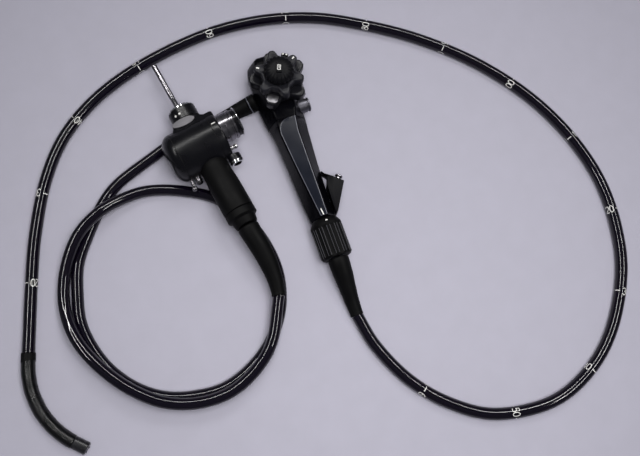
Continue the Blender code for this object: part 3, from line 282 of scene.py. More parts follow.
class Shape:
    """Mesh-building helpers; every result is a bmesh in the row frame."""

    @staticmethod
    def along(start: Sequence[float], direction: Sequence[float]) -> Matrix:
        """Return a matrix at start whose +Z points along direction."""
        turn = Vector(direction).to_track_quat("Z", "Y").to_matrix().to_4x4()
        return Matrix.Translation(Vector(start)) @ turn

    @staticmethod
    def chain(mesh: bmesh.types.BMesh, points: Iterable[Vector], closed: bool) -> tuple[list, list]:
        """Add points to a mesh as one line or ring.

        Args:
            mesh: the mesh that takes them.
            points: the places in order.
            closed: whether the last point joins the first.

        Returns:
            Its vertices and its edges.
        """
        verts = [bmesh.ops.create_vert(mesh, co=p)["vert"][0] for p in points]
        ends = verts[1:] + verts[:1] if closed else verts[1:]
        return verts, [mesh.edges.new(pair) for pair in zip(verts, ends)]

    @staticmethod
    def loft(rings: Sequence[Sequence[Vector]], closed: bool = True) -> bmesh.types.BMesh:
        """Skin rings of points that all have one count, by extruding each ring to the next.

        Args:
            rings: the outlines, in order.
            closed: whether the outlines are closed; the two ends are then filled.

        Returns:
            The skin.
        """
        mesh = bmesh.new()
        verts, edges = Shape.chain(mesh, rings[0], closed)
        for ring in rings[1:]:
            raised = bmesh.ops.extrude_edge_only(mesh, edges=edges)["geom"]
            fresh = {g for g in raised if isinstance(g, bmesh.types.BMVert)}
            verts = [next(o for e in v.link_edges if (o := e.other_vert(v)) in fresh) for v in verts]
            edges = [g for g in raised if isinstance(g, bmesh.types.BMEdge) and fresh.issuperset(g.verts)]
            for vert, point in zip(verts, ring):
                vert.co = point
        if closed:
            bmesh.ops.holes_fill(mesh, edges=[e for e in mesh.edges if e.is_boundary])
        return mesh

    @staticmethod
    def spun(profile: Sequence[tuple[float, float]], place: Optional[Matrix] = None, steps: int = 64,
             wave: Optional[Callable[[float, float, float], float]] = None,
             closed: bool = False) -> bmesh.types.BMesh:
        """Turn (radius, height) points in millimetres about +Z.

        Args:
            profile: points from the bottom to the top along the outside.
            place: where the axis goes.
            steps: points round.
            wave: change of radius for (angle, radius, height).
            closed: whether the profile is a ring of its own that stays off the axis.

        Returns:
            The turned skin.
        """
        mesh = bmesh.new()
        verts, edges = Shape.chain(mesh, (Vector((r, 0.0, h)) * MM for r, h in profile), closed)
        bmesh.ops.spin(mesh, geom=verts + edges, axis=(0.0, 0.0, 1.0), cent=(0.0, 0.0, 0.0), angle=math.tau,
                       steps=steps, use_merge=True)
        if wave:
            for vert in mesh.verts:
                radius = vert.co.xy.length
                if radius > WELD:
                    change = wave(math.atan2(vert.co.y, vert.co.x), radius, vert.co.z)
                    vert.co.xy *= 1.0 + change / radius
        if place:
            mesh.transform(place)
        return mesh

    @staticmethod
    def rounded(points: Sequence[Sequence[float]], radius: float, steps: int = 6) -> list[Vector]:
        """Round each corner of a closed polygon with an arc of a set number of points.

        Args:
            points: the corners in order.
            radius: the arc's radius, less where a side is short.
            steps: points on each arc.

        Returns:
            The rounded outline.
        """
        outline = []
        for i, point in enumerate(points):
            here = Vector(point)
            back = Vector(points[i - 1]) - here
            ahead = Vector(points[(i + 1) % len(points)]) - here
            half = back.angle(ahead) / 2.0
            reach = min(radius / math.tan(half), 0.45 * back.length, 0.45 * ahead.length)
            start = here + back.normalized() * reach
            end = here + ahead.normalized() * reach
            outline += [start * (1 - t) ** 2 + here * 2 * t * (1 - t) + end * t ** 2
                        for t in (k / (steps - 1) for k in range(steps))]
        return outline

    @staticmethod
    def curve(route: Sequence[Point], fine: int = 16) -> list[Vector]:
        """Draw a Catmull-Rom curve through a route.

        Args:
            route: points that the curve goes through.
            fine: steps between two of them.

        Returns:
            Close points on the curve.
        """
        points = [Vector(p) for p in route]
        ends = [points[0] * 2 - points[1], *points, points[-1] * 2 - points[-2]]
        found = []
        for a, b, c, d in zip(ends, ends[1:], ends[2:], ends[3:]):
            for step in range(fine):
                t = step / fine
                found.append((b * 2 + (c - a) * t + (a * 2 - b * 5 + c * 4 - d) * t ** 2
                              + (b * 3 - a - c * 3 + d) * t ** 3) / 2.0)
        return found + [points[-1]]

    @staticmethod
    def even(route: Sequence[Point], step: float) -> list[Vector]:
        """Space points at even steps along the smooth curve through a route.

        Args:
            route: points that the curve goes through.
            step: distance between two points.

        Returns:
            The spaced points.
        """
        points = Shape.curve(route)
        runs = [(b - a).length for a, b in zip(points, points[1:])]
        count = max(2, round(sum(runs) / step))
        found, walked, i = [points[0]], 0.0, 0
        for k in range(1, count):
            target = sum(runs) * k / count
            while walked + runs[i] < target:
                walked += runs[i]
                i += 1
            found.append(points[i].lerp(points[i + 1], (target - walked) / runs[i]))
        return found + [points[-1]]

    @staticmethod
    def swept(points: Sequence[Vector], radius: Callable[[float], float],
              steps: int = 40) -> bmesh.types.BMesh:
        """Sweep a circle along points.

        Args:
            points: the line of centres.
            radius: gives the radius at each share from 0 to 1 of the way.
            steps: points round.

        Returns:
            The closed skin.
        """
        rings = []
        last = len(points) - 1
        for k, point in enumerate(points):
            heading = (points[min(k + 1, last)] - points[max(k - 1, 0)]).normalized()
            side = heading.cross(Vector((0.0, 0.0, 1.0))).normalized()
            up = side.cross(heading)
            reach = radius(k / last)
            rings.append([point + (side * math.cos(math.tau * i / steps)
                                   + up * math.sin(math.tau * i / steps)) * reach for i in range(steps)])
        return Shape.loft(rings)

    @staticmethod
    def block(outline: Sequence[Vector], low: float, high: float, ease: float,
              rounds: int = 4) -> bmesh.types.BMesh:
        """Raise an outline to a slab with rounded rims.

        Args:
            outline: the slab's edge at its widest.
            low: height of the underside.
            high: height of the top.
            ease: how far each rim is drawn in and down.
            rounds: steps round each rim.

        Returns:
            The closed skin.
        """
        count = len(outline)
        inward = []
        for i, here in enumerate(outline):
            run = outline[(i + 1) % count] - outline[i - 1]
            inward.append(Vector((-run.y, run.x)).normalized())
        turning = sum(a.cross(b) for a, b in zip(outline, [*outline[1:], outline[0]]))
        sign = 1.0 if turning > 0.0 else -1.0
        bends = [math.pi / 2 * k / rounds for k in range(rounds + 1)]
        rims = [(ease * (1 - math.sin(bend)), ease * (1 - math.cos(bend))) for bend in bends]
        levels = [(low + rise, inset) for rise, inset in reversed(rims)]
        levels += [(high - rise, inset) for rise, inset in rims]
        return Shape.loft([[Vector((*(p + n * sign * inset), z)) for p, n in zip(outline, inward)]
                           for z, inset in levels])

    @staticmethod
    def bar(wide: float, tall: float, low: float, high: float,
            middle: tuple[float, float] = (0.0, 0.0)) -> bmesh.types.BMesh:
        """Make a thin bar with a slight ease on its rims.

        Args:
            wide: width in millimetres.
            tall: height on the drawing in millimetres.
            low: height of the underside in metres.
            high: height of the top in metres.
            middle: the bar's middle in millimetres.

        Returns:
            The closed skin.
        """
        corners = [Vector((middle[0] + a * wide / 2.0, middle[1] + b * tall / 2.0)) * MM
                   for a, b in ((-1, -1), (1, -1), (1, 1), (-1, 1))]
        return Shape.block(corners, low, high, 0.03 * MM, 1)


class Piece:
    """Finished visual pieces."""

    @staticmethod
    def add(name: str, mesh: bmesh.types.BMesh, finish: str, body: Optional[Body] = Body.SCOPE,
            slot: str = "", replaces: Iterable[str] = (), crease: float = 36.0,
            place: Optional[Matrix] = None) -> bpy.types.Object:
        """Turn a mesh into an object of the frame.

        Args:
            name: the piece's name.
            mesh: its skin, which is used up.
            finish: name of its material.
            body: body it rides on, or None to leave it without one.
            slot: material slot of the record; not used.
            replaces: nodes of the frame it stands for.
            crease: edges sharper than this many degrees stay sharp.
            place: extra transform, put into the mesh.

        Returns:
            The new object.
        """
        if place:
            mesh.transform(place)
        bmesh.ops.remove_doubles(mesh, verts=mesh.verts, dist=WELD)
        bmesh.ops.recalc_face_normals(mesh, faces=mesh.faces)
        data = bpy.data.meshes.new(name)
        mesh.to_mesh(data)
        mesh.free()
        data.shade_smooth()
        data.set_sharp_from_angle(angle=math.radians(crease))
        data.materials.append(PALETTE[finish])
        made = bpy.data.objects.new(name, data)
        bpy.context.scene.collection.objects.link(made)
        if replaces:
            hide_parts(*replaces)
        if body:
            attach(made, body.value)
        LOG.info("piece %s: %d faces, %s", name, len(data.polygons), finish)
        return made

    @staticmethod
    def merged(parts: Sequence[bmesh.types.BMesh]) -> bmesh.types.BMesh:
        """Join several meshes into one.

        Args:
            parts: the meshes, which are used up.

        Returns:
            The joined mesh.
        """
        whole = bmesh.new()
        for part in parts:
            data = bpy.data.meshes.new("part")
            part.to_mesh(data)
            part.free()
            whole.from_mesh(data)
            bpy.data.meshes.remove(data)
        return whole


@dataclass(frozen=True)
class CordSizes:
    """Sizes of the two cords."""

    tube_radius: float = 6.8 * MM
    cord_radius: float = 6.5 * MM
    step: float = 4.0 * MM


TUBE_ROUTE: list[Point] = [
    (-0.001, -0.277, 0.0075), (0.007, -0.316, 0.0069), (0.029, -0.363, 0.0069), (0.063, -0.402, 0.0069),
    (0.108, -0.430, 0.0069), (0.171, -0.439, 0.0069), (0.225, -0.423, 0.0069), (0.271, -0.389, 0.0069),
    (0.310, -0.335, 0.0069), (0.329, -0.281, 0.0069), (0.335, -0.223, 0.0069), (0.326, -0.166, 0.0069),
    (0.305, -0.111, 0.0069), (0.274, -0.061, 0.0069), (0.235, -0.016, 0.0069), (0.186, 0.026, 0.0069),
    (0.135, 0.059, 0.0069), (0.082, 0.086, 0.0069), (0.025, 0.102, 0.0069), (-0.035, 0.107, 0.0069),
    (-0.093, 0.101, 0.0069), (-0.154, 0.086, 0.0069), (-0.207, 0.063, 0.0069), (-0.252, 0.029, 0.0069),
    (-0.285, -0.016, 0.0069), (-0.312, -0.075, 0.0069), (-0.329, -0.126, 0.0069), (-0.344, -0.177, 0.0074),
    (-0.350, -0.198, 0.0079),
]
CORD_ROUTE: list[Point] = [
    (-0.076, -0.0065, 0.0076), (-0.094, -0.010, 0.0068), (-0.113, -0.0135, 0.0068), (-0.142, -0.019, 0.0068),
    (-0.162, -0.026, 0.0068), (-0.207, -0.044, 0.0068), (-0.231, -0.062, 0.0068), (-0.254, -0.089, 0.0068),
    (-0.275, -0.120, 0.0068), (-0.285, -0.153, 0.0068), (-0.290, -0.185, 0.0068), (-0.285, -0.217, 0.0068),
    (-0.273, -0.246, 0.0068), (-0.253, -0.272, 0.0068), (-0.227, -0.291, 0.0068), (-0.196, -0.301, 0.0068),
    (-0.163, -0.303, 0.0068), (-0.130, -0.292, 0.0068), (-0.101, -0.271, 0.0068), (-0.079, -0.240, 0.0068),
    (-0.069, -0.203, 0.0068), (-0.072, -0.164, 0.0068), (-0.086, -0.126, 0.0068), (-0.111, -0.095, 0.0068),
    (-0.145, -0.075, 0.0068), (-0.179, -0.064, 0.0075), (-0.208, -0.066, 0.0135), (-0.236, -0.075, 0.0208),
    (-0.262, -0.0905, 0.0205), (-0.281, -0.112, 0.0165), (-0.295, -0.138, 0.0115), (-0.3005, -0.165, 0.0135),
    (-0.2985, -0.194, 0.0190), (-0.290, -0.221, 0.0212), (-0.274, -0.250, 0.0212), (-0.253, -0.276, 0.0212),
    (-0.227, -0.297, 0.0212), (-0.195, -0.309, 0.0212), (-0.160, -0.310, 0.0212), (-0.127, -0.297, 0.0212),
    (-0.100, -0.273, 0.0212), (-0.0775, -0.229, 0.0220),
]


class Studio:
    """Camera, lights and table."""

    CAMERA_PLACE = (-0.1247, -0.3322, 0.789)
    CAMERA_TURN = (-19.7, -4.1, 13.9)
    LENS_MM, SENSOR_MM = 39.375, 36.0
    ROOM_COLOUR, ROOM_STRENGTH = (0.90, 0.92, 1.0, 1.0), 0.13
    TABLE_HALF, TABLE_CENTRE = 6.0, (0.0, -0.2, -0.0002)
    LAMP_AZIMUTHS = (-20, 25, 70, 115, 160)
    LAMP_CENTRE = (-0.02, -0.17, 0.0)
    LAMP_HEIGHT, LAMP_POWER, LAMP_SIZE = 1.5, 8.5, (0.82, 0.05)
    SOFT_SIZE = (0.5, 0.5)

    def build(self) -> None:
        """Make the camera, the lights, the world and the floor."""
        scene = bpy.context.scene
        scene.view_settings.view_transform = "Standard"
        data = bpy.data.cameras.new("view")
        data.lens = self.LENS_MM
        data.sensor_width = self.SENSOR_MM
        data.clip_start = 0.01
        camera = bpy.data.objects.new("view", data)
        about_z, about_y, about_x = (math.radians(a) for a in self.CAMERA_TURN)
        camera.matrix_world = (Matrix.Translation(self.CAMERA_PLACE) @ Matrix.Rotation(about_z, 4, "Z")
                               @ Matrix.Rotation(about_y, 4, "Y") @ Matrix.Rotation(about_x, 4, "X"))
        scene.collection.objects.link(camera)
        scene.camera = camera
        self._floor()
        self._lights(scene)

    def _floor(self) -> None:
        """Add the pale table top."""
        mesh = bmesh.new()
        bmesh.ops.create_grid(mesh, x_segments=8, y_segments=8, size=self.TABLE_HALF)
        bmesh.ops.translate(mesh, verts=mesh.verts, vec=self.TABLE_CENTRE)
        floor = Piece.add("table", mesh, "laminate_matt", None)

    def _lights(self, scene: bpy.types.Scene) -> None:
        """Add five long lamps that only shiny surfaces mirror, two soft lights and a dim room.

        Args:
            scene: the scene that is lit.
        """
        world = bpy.data.worlds.new("room")
        world.use_nodes = True
        background = world.node_tree.nodes["Background"]
        background.inputs["Color"].default_value = self.ROOM_COLOUR
        background.inputs["Strength"].default_value = self.ROOM_STRENGTH
        scene.world = world
        centre = Vector(self.LAMP_CENTRE)
        for i, azimuth in enumerate(math.radians(a) for a in self.LAMP_AZIMUTHS):
            place = centre + Vector((math.cos(azimuth), math.sin(azimuth), self.LAMP_HEIGHT))
            self._area(f"lamp_{i + 1}", place, centre, self.LAMP_SIZE, self.LAMP_POWER, diffuse=False)
        self._area("ceiling", (0.0, -0.34, 0.95), (0.0, -0.34, 0.0), self.SOFT_SIZE, 8.0, glossy=False)
        self._area("high", (0.45, 0.55, 1.35), (0.0, -0.2, 0.0), self.SOFT_SIZE, 4.6, glossy=False)

    @staticmethod
    def _area(name: str, place: Point, aim: Point, size: tuple[float, float], power: float,
              glossy: bool = True, diffuse: bool = True) -> None:
        """Add one area light.

        Args:
            name: the light's name.
            place: where it hangs.
            aim: point it faces.
            size: its width across and its height, in metres.
            power: watts.
            glossy: whether smooth surfaces mirror it.
            diffuse: whether it lights matt surfaces.
        """
        data = bpy.data.lights.new(name, "AREA")
        data.shape = "RECTANGLE"
        data.size, data.size_y = size
        data.energy = power
        data.color = (1.0, 0.99, 0.98)
        lamp = bpy.data.objects.new(name, data)
        back = (Vector(place) - Vector(aim)).normalized()
        slanted = back.xy.length > 0.01
        across = Vector((-back.y, back.x, 0.0)).normalized() if slanted else Vector((1.0, 0.0, 0.0))
        axes = Matrix((across, back.cross(across), back)).transposed().to_4x4()
        lamp.matrix_world = Matrix.Translation(place) @ axes
        lamp.visible_glossy = glossy
        lamp.visible_diffuse = diffuse
        bpy.context.scene.collection.objects.link(lamp)


class Cords:
    """The insertion tube and the universal cord."""

    def __init__(self, sizes: CordSizes) -> None:
        """Keep the cords' sizes."""
        self.sizes = sizes

    def build(self) -> None:
        self._cord("insertion_tube_jacket", TUBE_ROUTE, self.sizes.tube_radius, "insertion_tube")
        self._cord("universal_cord_jacket", CORD_ROUTE, self.sizes.cord_radius, "universal_cord")

    def _cord(self, name: str, route: list[Point], radius: float, node: str) -> None:
        """Add one jacket as a bevelled curve along its route.

        Args:
            name: the piece's name.
            route: points on the table, from the control section on.
            radius: the jacket's radius.
            node: node of the frame that it stands for.
        """
        data = bpy.data.curves.new(name, "CURVE")
        data.dimensions = "3D"
        data.bevel_depth = radius
        data.bevel_resolution = 8
        data.use_fill_caps = True
        data.twist_mode = "Z_UP"
        points = Shape.even(route, self.sizes.step)
        spline = data.splines.new("POLY")
        spline.points.add(len(points) - 1)
        for target, point in zip(spline.points, points):
            target.co = (*point, 1.0)
        spline.use_smooth = True
        data.materials.append(PALETTE["polyurethane_extruded"])
        jacket = bpy.data.objects.new(name, data)
        bpy.context.scene.collection.objects.link(jacket)
        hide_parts(node)
        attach(jacket, Body.SCOPE.value)
        length = sum((b - a).length for a, b in zip(points, points[1:]))
        tuple(points[0])


@dataclass
class DepthMarks:
    """White ticks and numbers printed round the insertion tube every 10 cm.

    FONT draws each digit as one stroke in a box of 1 by 1. MARKS gives each number's distance along the tube
    in millimetres and its turn round the tube in degrees.
    """

    FONT: ClassVar[dict[str, list[tuple[float, float]]]] = {
        "0": [(.5, 0), (.85, .1), (1, .32), (1, .68), (.85, .9), (.5, 1), (.15, .9), (0, .68), (0, .32),
              (.15, .1), (.5, 0)],
        "1": [(.2, .78), (.55, 1), (.55, 0)],
        "2": [(.03, .75), (.18, .94), (.5, 1), (.84, .93), (.97, .73), (.8, .48), (0, 0), (1, 0)],
        "3": [(.04, .84), (.3, 1), (.72, .98), (.95, .78), (.8, .58), (.45, .53), (.82, .48), (1, .27),
              (.75, .03), (.3, 0), (0, .16)],
        "4": [(.74, 0), (.74, 1), (0, .3), (1, .3)],
        "5": [(.95, 1), (.15, 1), (.08, .55), (.5, .62), (.88, .5), (1, .28), (.8, .05), (.4, 0), (0, .13)],
        "6": [(.88, .95), (.5, 1), (.14, .75), (0, .35), (.15, .08), (.5, 0), (.85, .08), (1, .3), (.85, .52),
              (.5, .6), (.08, .42)],
        "7": [(0, 1), (1, 1), (.4, 0)],
        "8": [(.5, .54), (.12, .7), (.12, .88), (.5, 1), (.88, .88), (.88, .7), (.5, .54), (0, .36),
              (.04, .12), (.5, 0), (.96, .12), (1, .36), (.5, .54)],
        "9": [(.12, .05), (.5, 0), (.86, .25), (1, .65), (.85, .92), (.5, 1), (.15, .92), (0, .7), (.15, .48),
              (.5, .4), (.92, .58)],
    }
    MARKS: ClassVar[dict[int, tuple[float, float]]] = {
        160: (111.0, -10.0), 150: (216.5, -95.0), 140: (321.0, 25.0), 130: (421.5, -50.0), 120: (521.5, 42.0),
        110: (623.0, -48.0), 100: (722.5, 50.0), 90: (817.5, -35.0), 80: (918.5, 50.0), 70: (1019.0, -32.0),
        60: (1116.0, 55.0), 50: (1211.5, -36.0), 40: (1309.0, 38.0), 30: (1405.5, -50.0), 20: (1508.0, 38.0),
    }

    radius: float
    digit_width: float = 4.1 * MM
    digit_height: float = 8.0 * MM
    digit_pitch: float = 5.0 * MM
    digit_half: float = 0.42 * MM
    tick_reach: float = 3.0 * MM
    tick_half: float = 0.5 * MM
    proud: float = 0.05 * MM

    def __post_init__(self) -> None:
        """Measure the tube's route."""
        self.points = Shape.even(TUBE_ROUTE, 1.0 * MM)
        self.runs = [0.0]
        for a, b in zip(self.points, self.points[1:]):
            self.runs.append(self.runs[-1] + (b - a).length)

    def _at(self, along: float, angle: float, reach: float) -> Vector:
        """Find a point on or near the tube.

        Args:
            along: distance along the tube.
            angle: angle round it, from its top.
            reach: distance from its axis.

        Returns:
            The point.
        """
        i = min(max(int(along / self.runs[-1] * (len(self.points) - 1)), 1), len(self.points) - 2)
        heading = (self.points[i + 1] - self.points[i - 1]).normalized()
        here = self.points[i] + heading * (along - self.runs[i])
        right = heading.cross(Vector((0.0, 0.0, 1.0))).normalized()
        up = right.cross(heading)
        return here + (up * math.cos(angle) + right * math.sin(angle)) * reach

    def _stroke(self, line: Sequence[Vector], half: float, along: float, turn: float) -> bmesh.types.BMesh:
        """Return one ribbon laid on the tube.

        Args:
            line: (arc, axial) points about the mark's middle.
            half: half the ribbon's width.
            along: the mark's distance along the tube.
            turn: the mark's angle round the tube.

        Returns:
            The ribbon.
        """
        fine = []
        for a, b in zip(line, line[1:]):
            count = max(1, round((b - a).length / (0.8 * MM)))
            fine += [a.lerp(b, k / count) for k in range(count)]
        fine.append(line[-1])
        rows = []
        for i, here in enumerate(fine):
            run = (fine[min(i + 1, len(fine) - 1)] - fine[max(i - 1, 0)]).normalized()
            side = Vector((-run.y, run.x)) * half
            rows.append([self._at(along + p.y, turn + p.x / self.radius, self.radius + self.proud)
                         for p in (here - side, here, here + side)])
        return Shape.loft(rows, closed=False)

    def build(self) -> None:
        """Add every mark as one printed piece: a short bar and two digits, twice round the tube."""
        tick = [Vector((-self.tick_reach, 0.0)), Vector((self.tick_reach, 0.0))]
        middle = math.pi * self.radius / 2.0
        for value, (along_mm, turn) in self.MARKS.items():
            along = along_mm * MM
            strokes = []
            for group in (0, 1):
                start = math.radians(turn) + math.pi * group
                strokes.append(self._stroke(tick, self.tick_half, along, start))
                for k, digit in enumerate(str(value)[-2:]):
                    left = middle + (k - 0.5) * self.digit_pitch - self.digit_width / 2.0
                    drawn = [Vector((left + x * self.digit_width, (y - 0.5) * self.digit_height))
                             for x, y in self.FONT[digit]]
                    strokes.append(self._stroke(drawn, self.digit_half, along, start))
            Piece.add(f"depth_mark_{value:03d}", Piece.merged(strokes), "ink_printed", slot="gloss_black")


@dataclass(frozen=True)
class BodySizes:
    """Sizes of the control section's shell."""

    corner: float = 4.0 * MM
    valve_places: tuple[Point, ...] = ((14.5 * MM, -4.5 * MM, 21.5 * MM), (14.5 * MM, -25.3 * MM, 21.5 * MM))
    mouth_place: Point = (29.2 * MM, -124.3 * MM, 21.0 * MM)
    mouth_heading: Point = (0.64, 0.768, 0.0)
    branch_low: float = 10.5 * MM
    branch_high: float = 31.5 * MM
    cord_exit: Point = (-0.0311, -0.0016, 0.0163)
    cord_heading: Point = (-0.0057, -0.0006, -0.0014)


Station = tuple[float, float, float, float, float, float, float]


class ControlBody:
    """Head, grip, gloss panel, valve cylinders and channel branch."""

    HEAD: list[Station] = [
        (42.0, -19.0, 11.0, -12.0, 6.0, 35.0, 5.0), (41.2, -22.0, 13.5, -13.8, 7.8, 38.0, 3.0),
        (38.5, -25.5, 16.5, -16.0, 10.0, 40.6, 1.0), (33.0, -27.4, 19.0, -17.0, 11.0, 41.8, 0.1),
        (22.0, -28.6, 20.1, -17.8, 11.8, 42.0, 0.1), (10.0, -28.4, 20.5, -18.0, 12.0, 42.0, 0.1),
        (-4.0, -28.6, 20.5, -17.8, 12.0, 42.0, 0.1), (-18.0, -28.8, 20.5, -17.5, 12.0, 42.0, 0.1),
        (-30.0, -27.6, 20.2, -16.8, 10.2, 42.0, 0.1), (-40.6, -25.9, 19.7, -16.2, 6.9, 42.0, 0.1),
        (-40.9, -25.7, 19.5, -16.0, 6.7, 41.8, 0.3),
    ]
    GRIP: list[Station] = [
        (-41.2, -25.4, 19.4, -16.1, 6.5, 41.2, 0.3), (-41.5, -25.6, 19.6, -16.3, 6.6, 41.5, 0.1),
        (-50.0, -23.9, 18.9, -16.9, 5.2, 41.0, 0.1), (-58.0, -22.7, 18.1, -17.1, 4.1, 40.6, 0.1),
        (-77.0, -21.4, 16.5, -15.5, 3.8, 40.5, 0.1), (-97.0, -20.3, 15.0, -13.7, 3.4, 40.5, 0.1),
        (-117.0, -19.5, 14.0, -11.5, 3.4, 40.1, 0.3), (-137.0, -18.6, 13.2, -9.2, 3.3, 39.5, 0.5),
        (-150.0, -17.6, 12.6, -7.7, 3.1, 38.6, 1.0), (-162.0, -16.6, 12.2, -6.3, 2.9, 37.6, 1.5),
        (-163.0, -15.6, 11.2, -5.8, 2.4, 36.8, 2.4),
    ]

    def __init__(self, sizes: BodySizes) -> None:
        """Keep the shell's sizes."""
        self.sizes = sizes

    def _section(self, station: Station) -> list[Vector]:
        """Draw one section of the shell, every corner rounded.

        Args:
            station: place and corners of the section, in millimetres.

        Returns:
            The section's outline.
        """
        y, left, right, top_left, top_right, height, base = station
        corners = [(right - 6.0, base), (left + 7.0, base), (left, base + 11.0), (left, base + 19.0),
                   (top_left, height), (top_right, height), (right, base + 20.0), (right, base + 9.0)]
        outline = Shape.rounded([(x * MM, z * MM) for x, z in corners], self.sizes.corner, 7)
        return [Vector((p.x, y * MM, p.y)) for p in outline]

    def build(self) -> None:
        """Add the shells and what is fixed to them."""
        for name, stations, node in (("head_shell", self.HEAD, "head_housing"),
                                     ("grip_moulding", self.GRIP, "grip_shell")):
            Piece.add(name, Shape.loft([self._section(s) for s in stations]), "polyphenylene_moulded",
                      slot="black_plastic", replaces=[node], crease=50)
        self._panel()
        self._valves()
        self._branch()
        self._marks()
        self._underside()
        self._collars()

    def _panel(self) -> None:
        """Add the gloss panel with its arched upper end and its two pale edge lines, which are painted
        highlights.
        """
        rows = [(-41.3, -1.0, 6.1), (-42.0, -5.2, 6.0), (-43.0, -8.6, 5.8), (-44.6, -11.0, 5.5),
                (-46.6, -12.9, 5.2), (-48.9, -14.4, 4.9), (-52.5, -15.9, 4.4), (-58.0, -16.6, 3.5),
                (-77.0, -15.0, 3.2), (-97.0, -13.2, 2.8), (-117.0, -11.0, 2.7), (-137.0, -8.7, 2.6),
                (-150.0, -7.2, 2.4), (-161.0, -5.9, 2.3), (-162.4, -5.2, 1.8)]
        rings, edges = [], ([], [])
        for y, left, right in rows:
            drop = max(0.0, -y - 97.0) * 0.0425
            for side, x, inward in ((0, left, 1.0), (1, right, -1.0)):
                corners = ((x + 0.1 * inward, 41.0), (x + 0.1 * inward, 42.06), (x + 0.75 * inward, 42.16),
                           (x + 0.75 * inward, 41.0))
                edges[side].append([Vector((a * MM, y * MM, (b - drop) * MM)) for a, b in corners])
            low, high, ease = 40.8 - drop, 42.0 - drop, 0.55
            waist = (left + right) / 2.0
            section = [(left, low), (left, high - ease), (left + ease * 0.4, high - ease * 0.35),
                       (left + ease, high), (waist, high + 0.12), (right - ease, high),
                       (right - ease * 0.4, high - ease * 0.35), (right, high - ease), (right, low)]
            rings.append([Vector((x * MM, y * MM, z * MM)) for x, z in section])
        Piece.add("grip_gloss_panel", Shape.loft(rings), "abs_lacquered", slot="panel_grey",
                  replaces=["grip_panel"], crease=28)
        Piece.add("grip_panel_edge_highlight", Piece.merged([Shape.loft(edge) for edge in edges]), "pale_line_painted_highlight",
                  slot="panel_grey", crease=28)

    def _valves(self) -> None:
        """Add the bare valve cylinders with a groove below the rim and a stepped bore."""
        profile = [(0.0, 0.0), (8.3, 0.0), (8.3, 11.1), (7.55, 11.6), (7.55, 13.0), (8.3, 13.5), (8.3, 14.9),
                   (7.9, 15.3), (5.75, 15.3), (5.2, 14.8), (5.2, 4.0), (4.6, 3.6), (4.6, 1.5), (0.0, 1.5)]
        for name, place in zip(("suction_cylinder", "air_water_cylinder"), self.sizes.valve_places):
            Piece.add(f"{name}_turned", Shape.spun(profile, Shape.along(place, (1, 0, 0))),
                      "stainless_blasted", slot="steel", replaces=[name], crease=30)

    def _branch(self) -> None:
        """Add the channel branch, thinner towards the head, and its double-flanged steel mouth."""
        side = [(14.4, -108.6), (15.0, -113.0), (19.3, -117.0), (14.9, -128.5), (14.1, -140.0),
                (13.4, -162.0), (16.1, -161.2), (34.8, -129.6), (24.6, -120.5), (19.6, -115.6),
                (16.8, -112.0), (15.2, -108.2)]
        outline = Shape.rounded([(x * MM, y * MM) for x, y in side], 0.9 * MM, 4)
        mesh = Shape.block(outline, self.sizes.branch_low, self.sizes.branch_high, 0.35 * MM, 3)
        thin_end, full_end, middle = -108.0 * MM, -120.0 * MM, 19.0 * MM
        for vert in mesh.verts:
            share = min(1.0, max(0.0, (thin_end - vert.co.y) / (thin_end - full_end)))
            vert.co.z = middle + (vert.co.z - middle) * (0.25 + 0.75 * share)
        Piece.add("channel_branch_moulding", mesh, "polyphenylene_satin", slot="black_plastic",
                  replaces=["channel_branch"], crease=46)
        place = Shape.along(self.sizes.mouth_place, self.sizes.mouth_heading)
        mouth = [(1.7, -3.0), (2.6, -3.0), (2.6, 0.2), (4.4, 0.5), (4.5, 0.8), (4.4, 1.7), (3.0, 2.1),
                 (2.9, 3.6), (4.0, 4.2), (4.5, 4.6), (4.5, 5.9), (4.1, 6.3), (1.7, 6.3)]
        Piece.add("channel_mouth_turned", Shape.spun(mouth, place, 56, closed=True), "stainless_ground",
                  slot="steel", replaces=["channel_mouthpiece"], crease=30)

    def _marks(self) -> None:
        """Add the white index line at the grip's end."""
        corners = ((-2.9, -161.9), (-1.5, -161.9), (-2.4, -154.6), (-3.8, -154.6))
        line = Shape.block([Vector(p) * MM for p in corners], 39.1 * MM, 39.75 * MM, 0.05 * MM, 1)
        Piece.add("grip_index_line", line, "ink_printed", slot="panel_grey")

    def _underside(self) -> None:
        """Add four screws to the cover under the head."""
        profile = [(0.0, 0.0), (1.9, 0.0), (2.1, 0.2), (2.1, 0.9), (0.0, 0.9)]
        for i, (x, y) in enumerate(((-16.5, -30.0), (8.5, -30.0), (-16.5, 24.0), (8.5, 24.0))):
            place = Matrix.Translation(Vector((x, y, 0.12)) * MM)
            Piece.add(f"cover_screw_{i + 1}", Shape.spun(profile, place, 28), "stainless_turned",
                      slot="steel")

    def _collars(self) -> None:
        """Add the grooved collar where the universal cord leaves, and the pale line beside it."""
        place = Shape.along(self.sizes.cord_exit, self.sizes.cord_heading)
        profile = [(0.0, -3.0), (10.2, -3.0), (10.6, -2.4), (10.6, 1.6), (10.1, 2.0), (10.1, 2.6),
                   (10.6, 3.0), (10.6, 4.4), (10.0, 5.0), (0.0, 5.0)]
        band = [(10.0, 4.9), (10.35, 4.9), (10.55, 5.1), (10.55, 5.6), (10.35, 5.8), (10.0, 5.8)]
        Piece.add("cord_exit_line", Shape.spun(band, place, 72, closed=True), "pale_line_painted_highlight",
                  slot="soft_black", crease=40)
        Piece.add("cord_exit_collar", Shape.spun(profile, place), "silicone_moulded", slot="soft_black",
                  replaces=["cord_boot_collar"], crease=30)


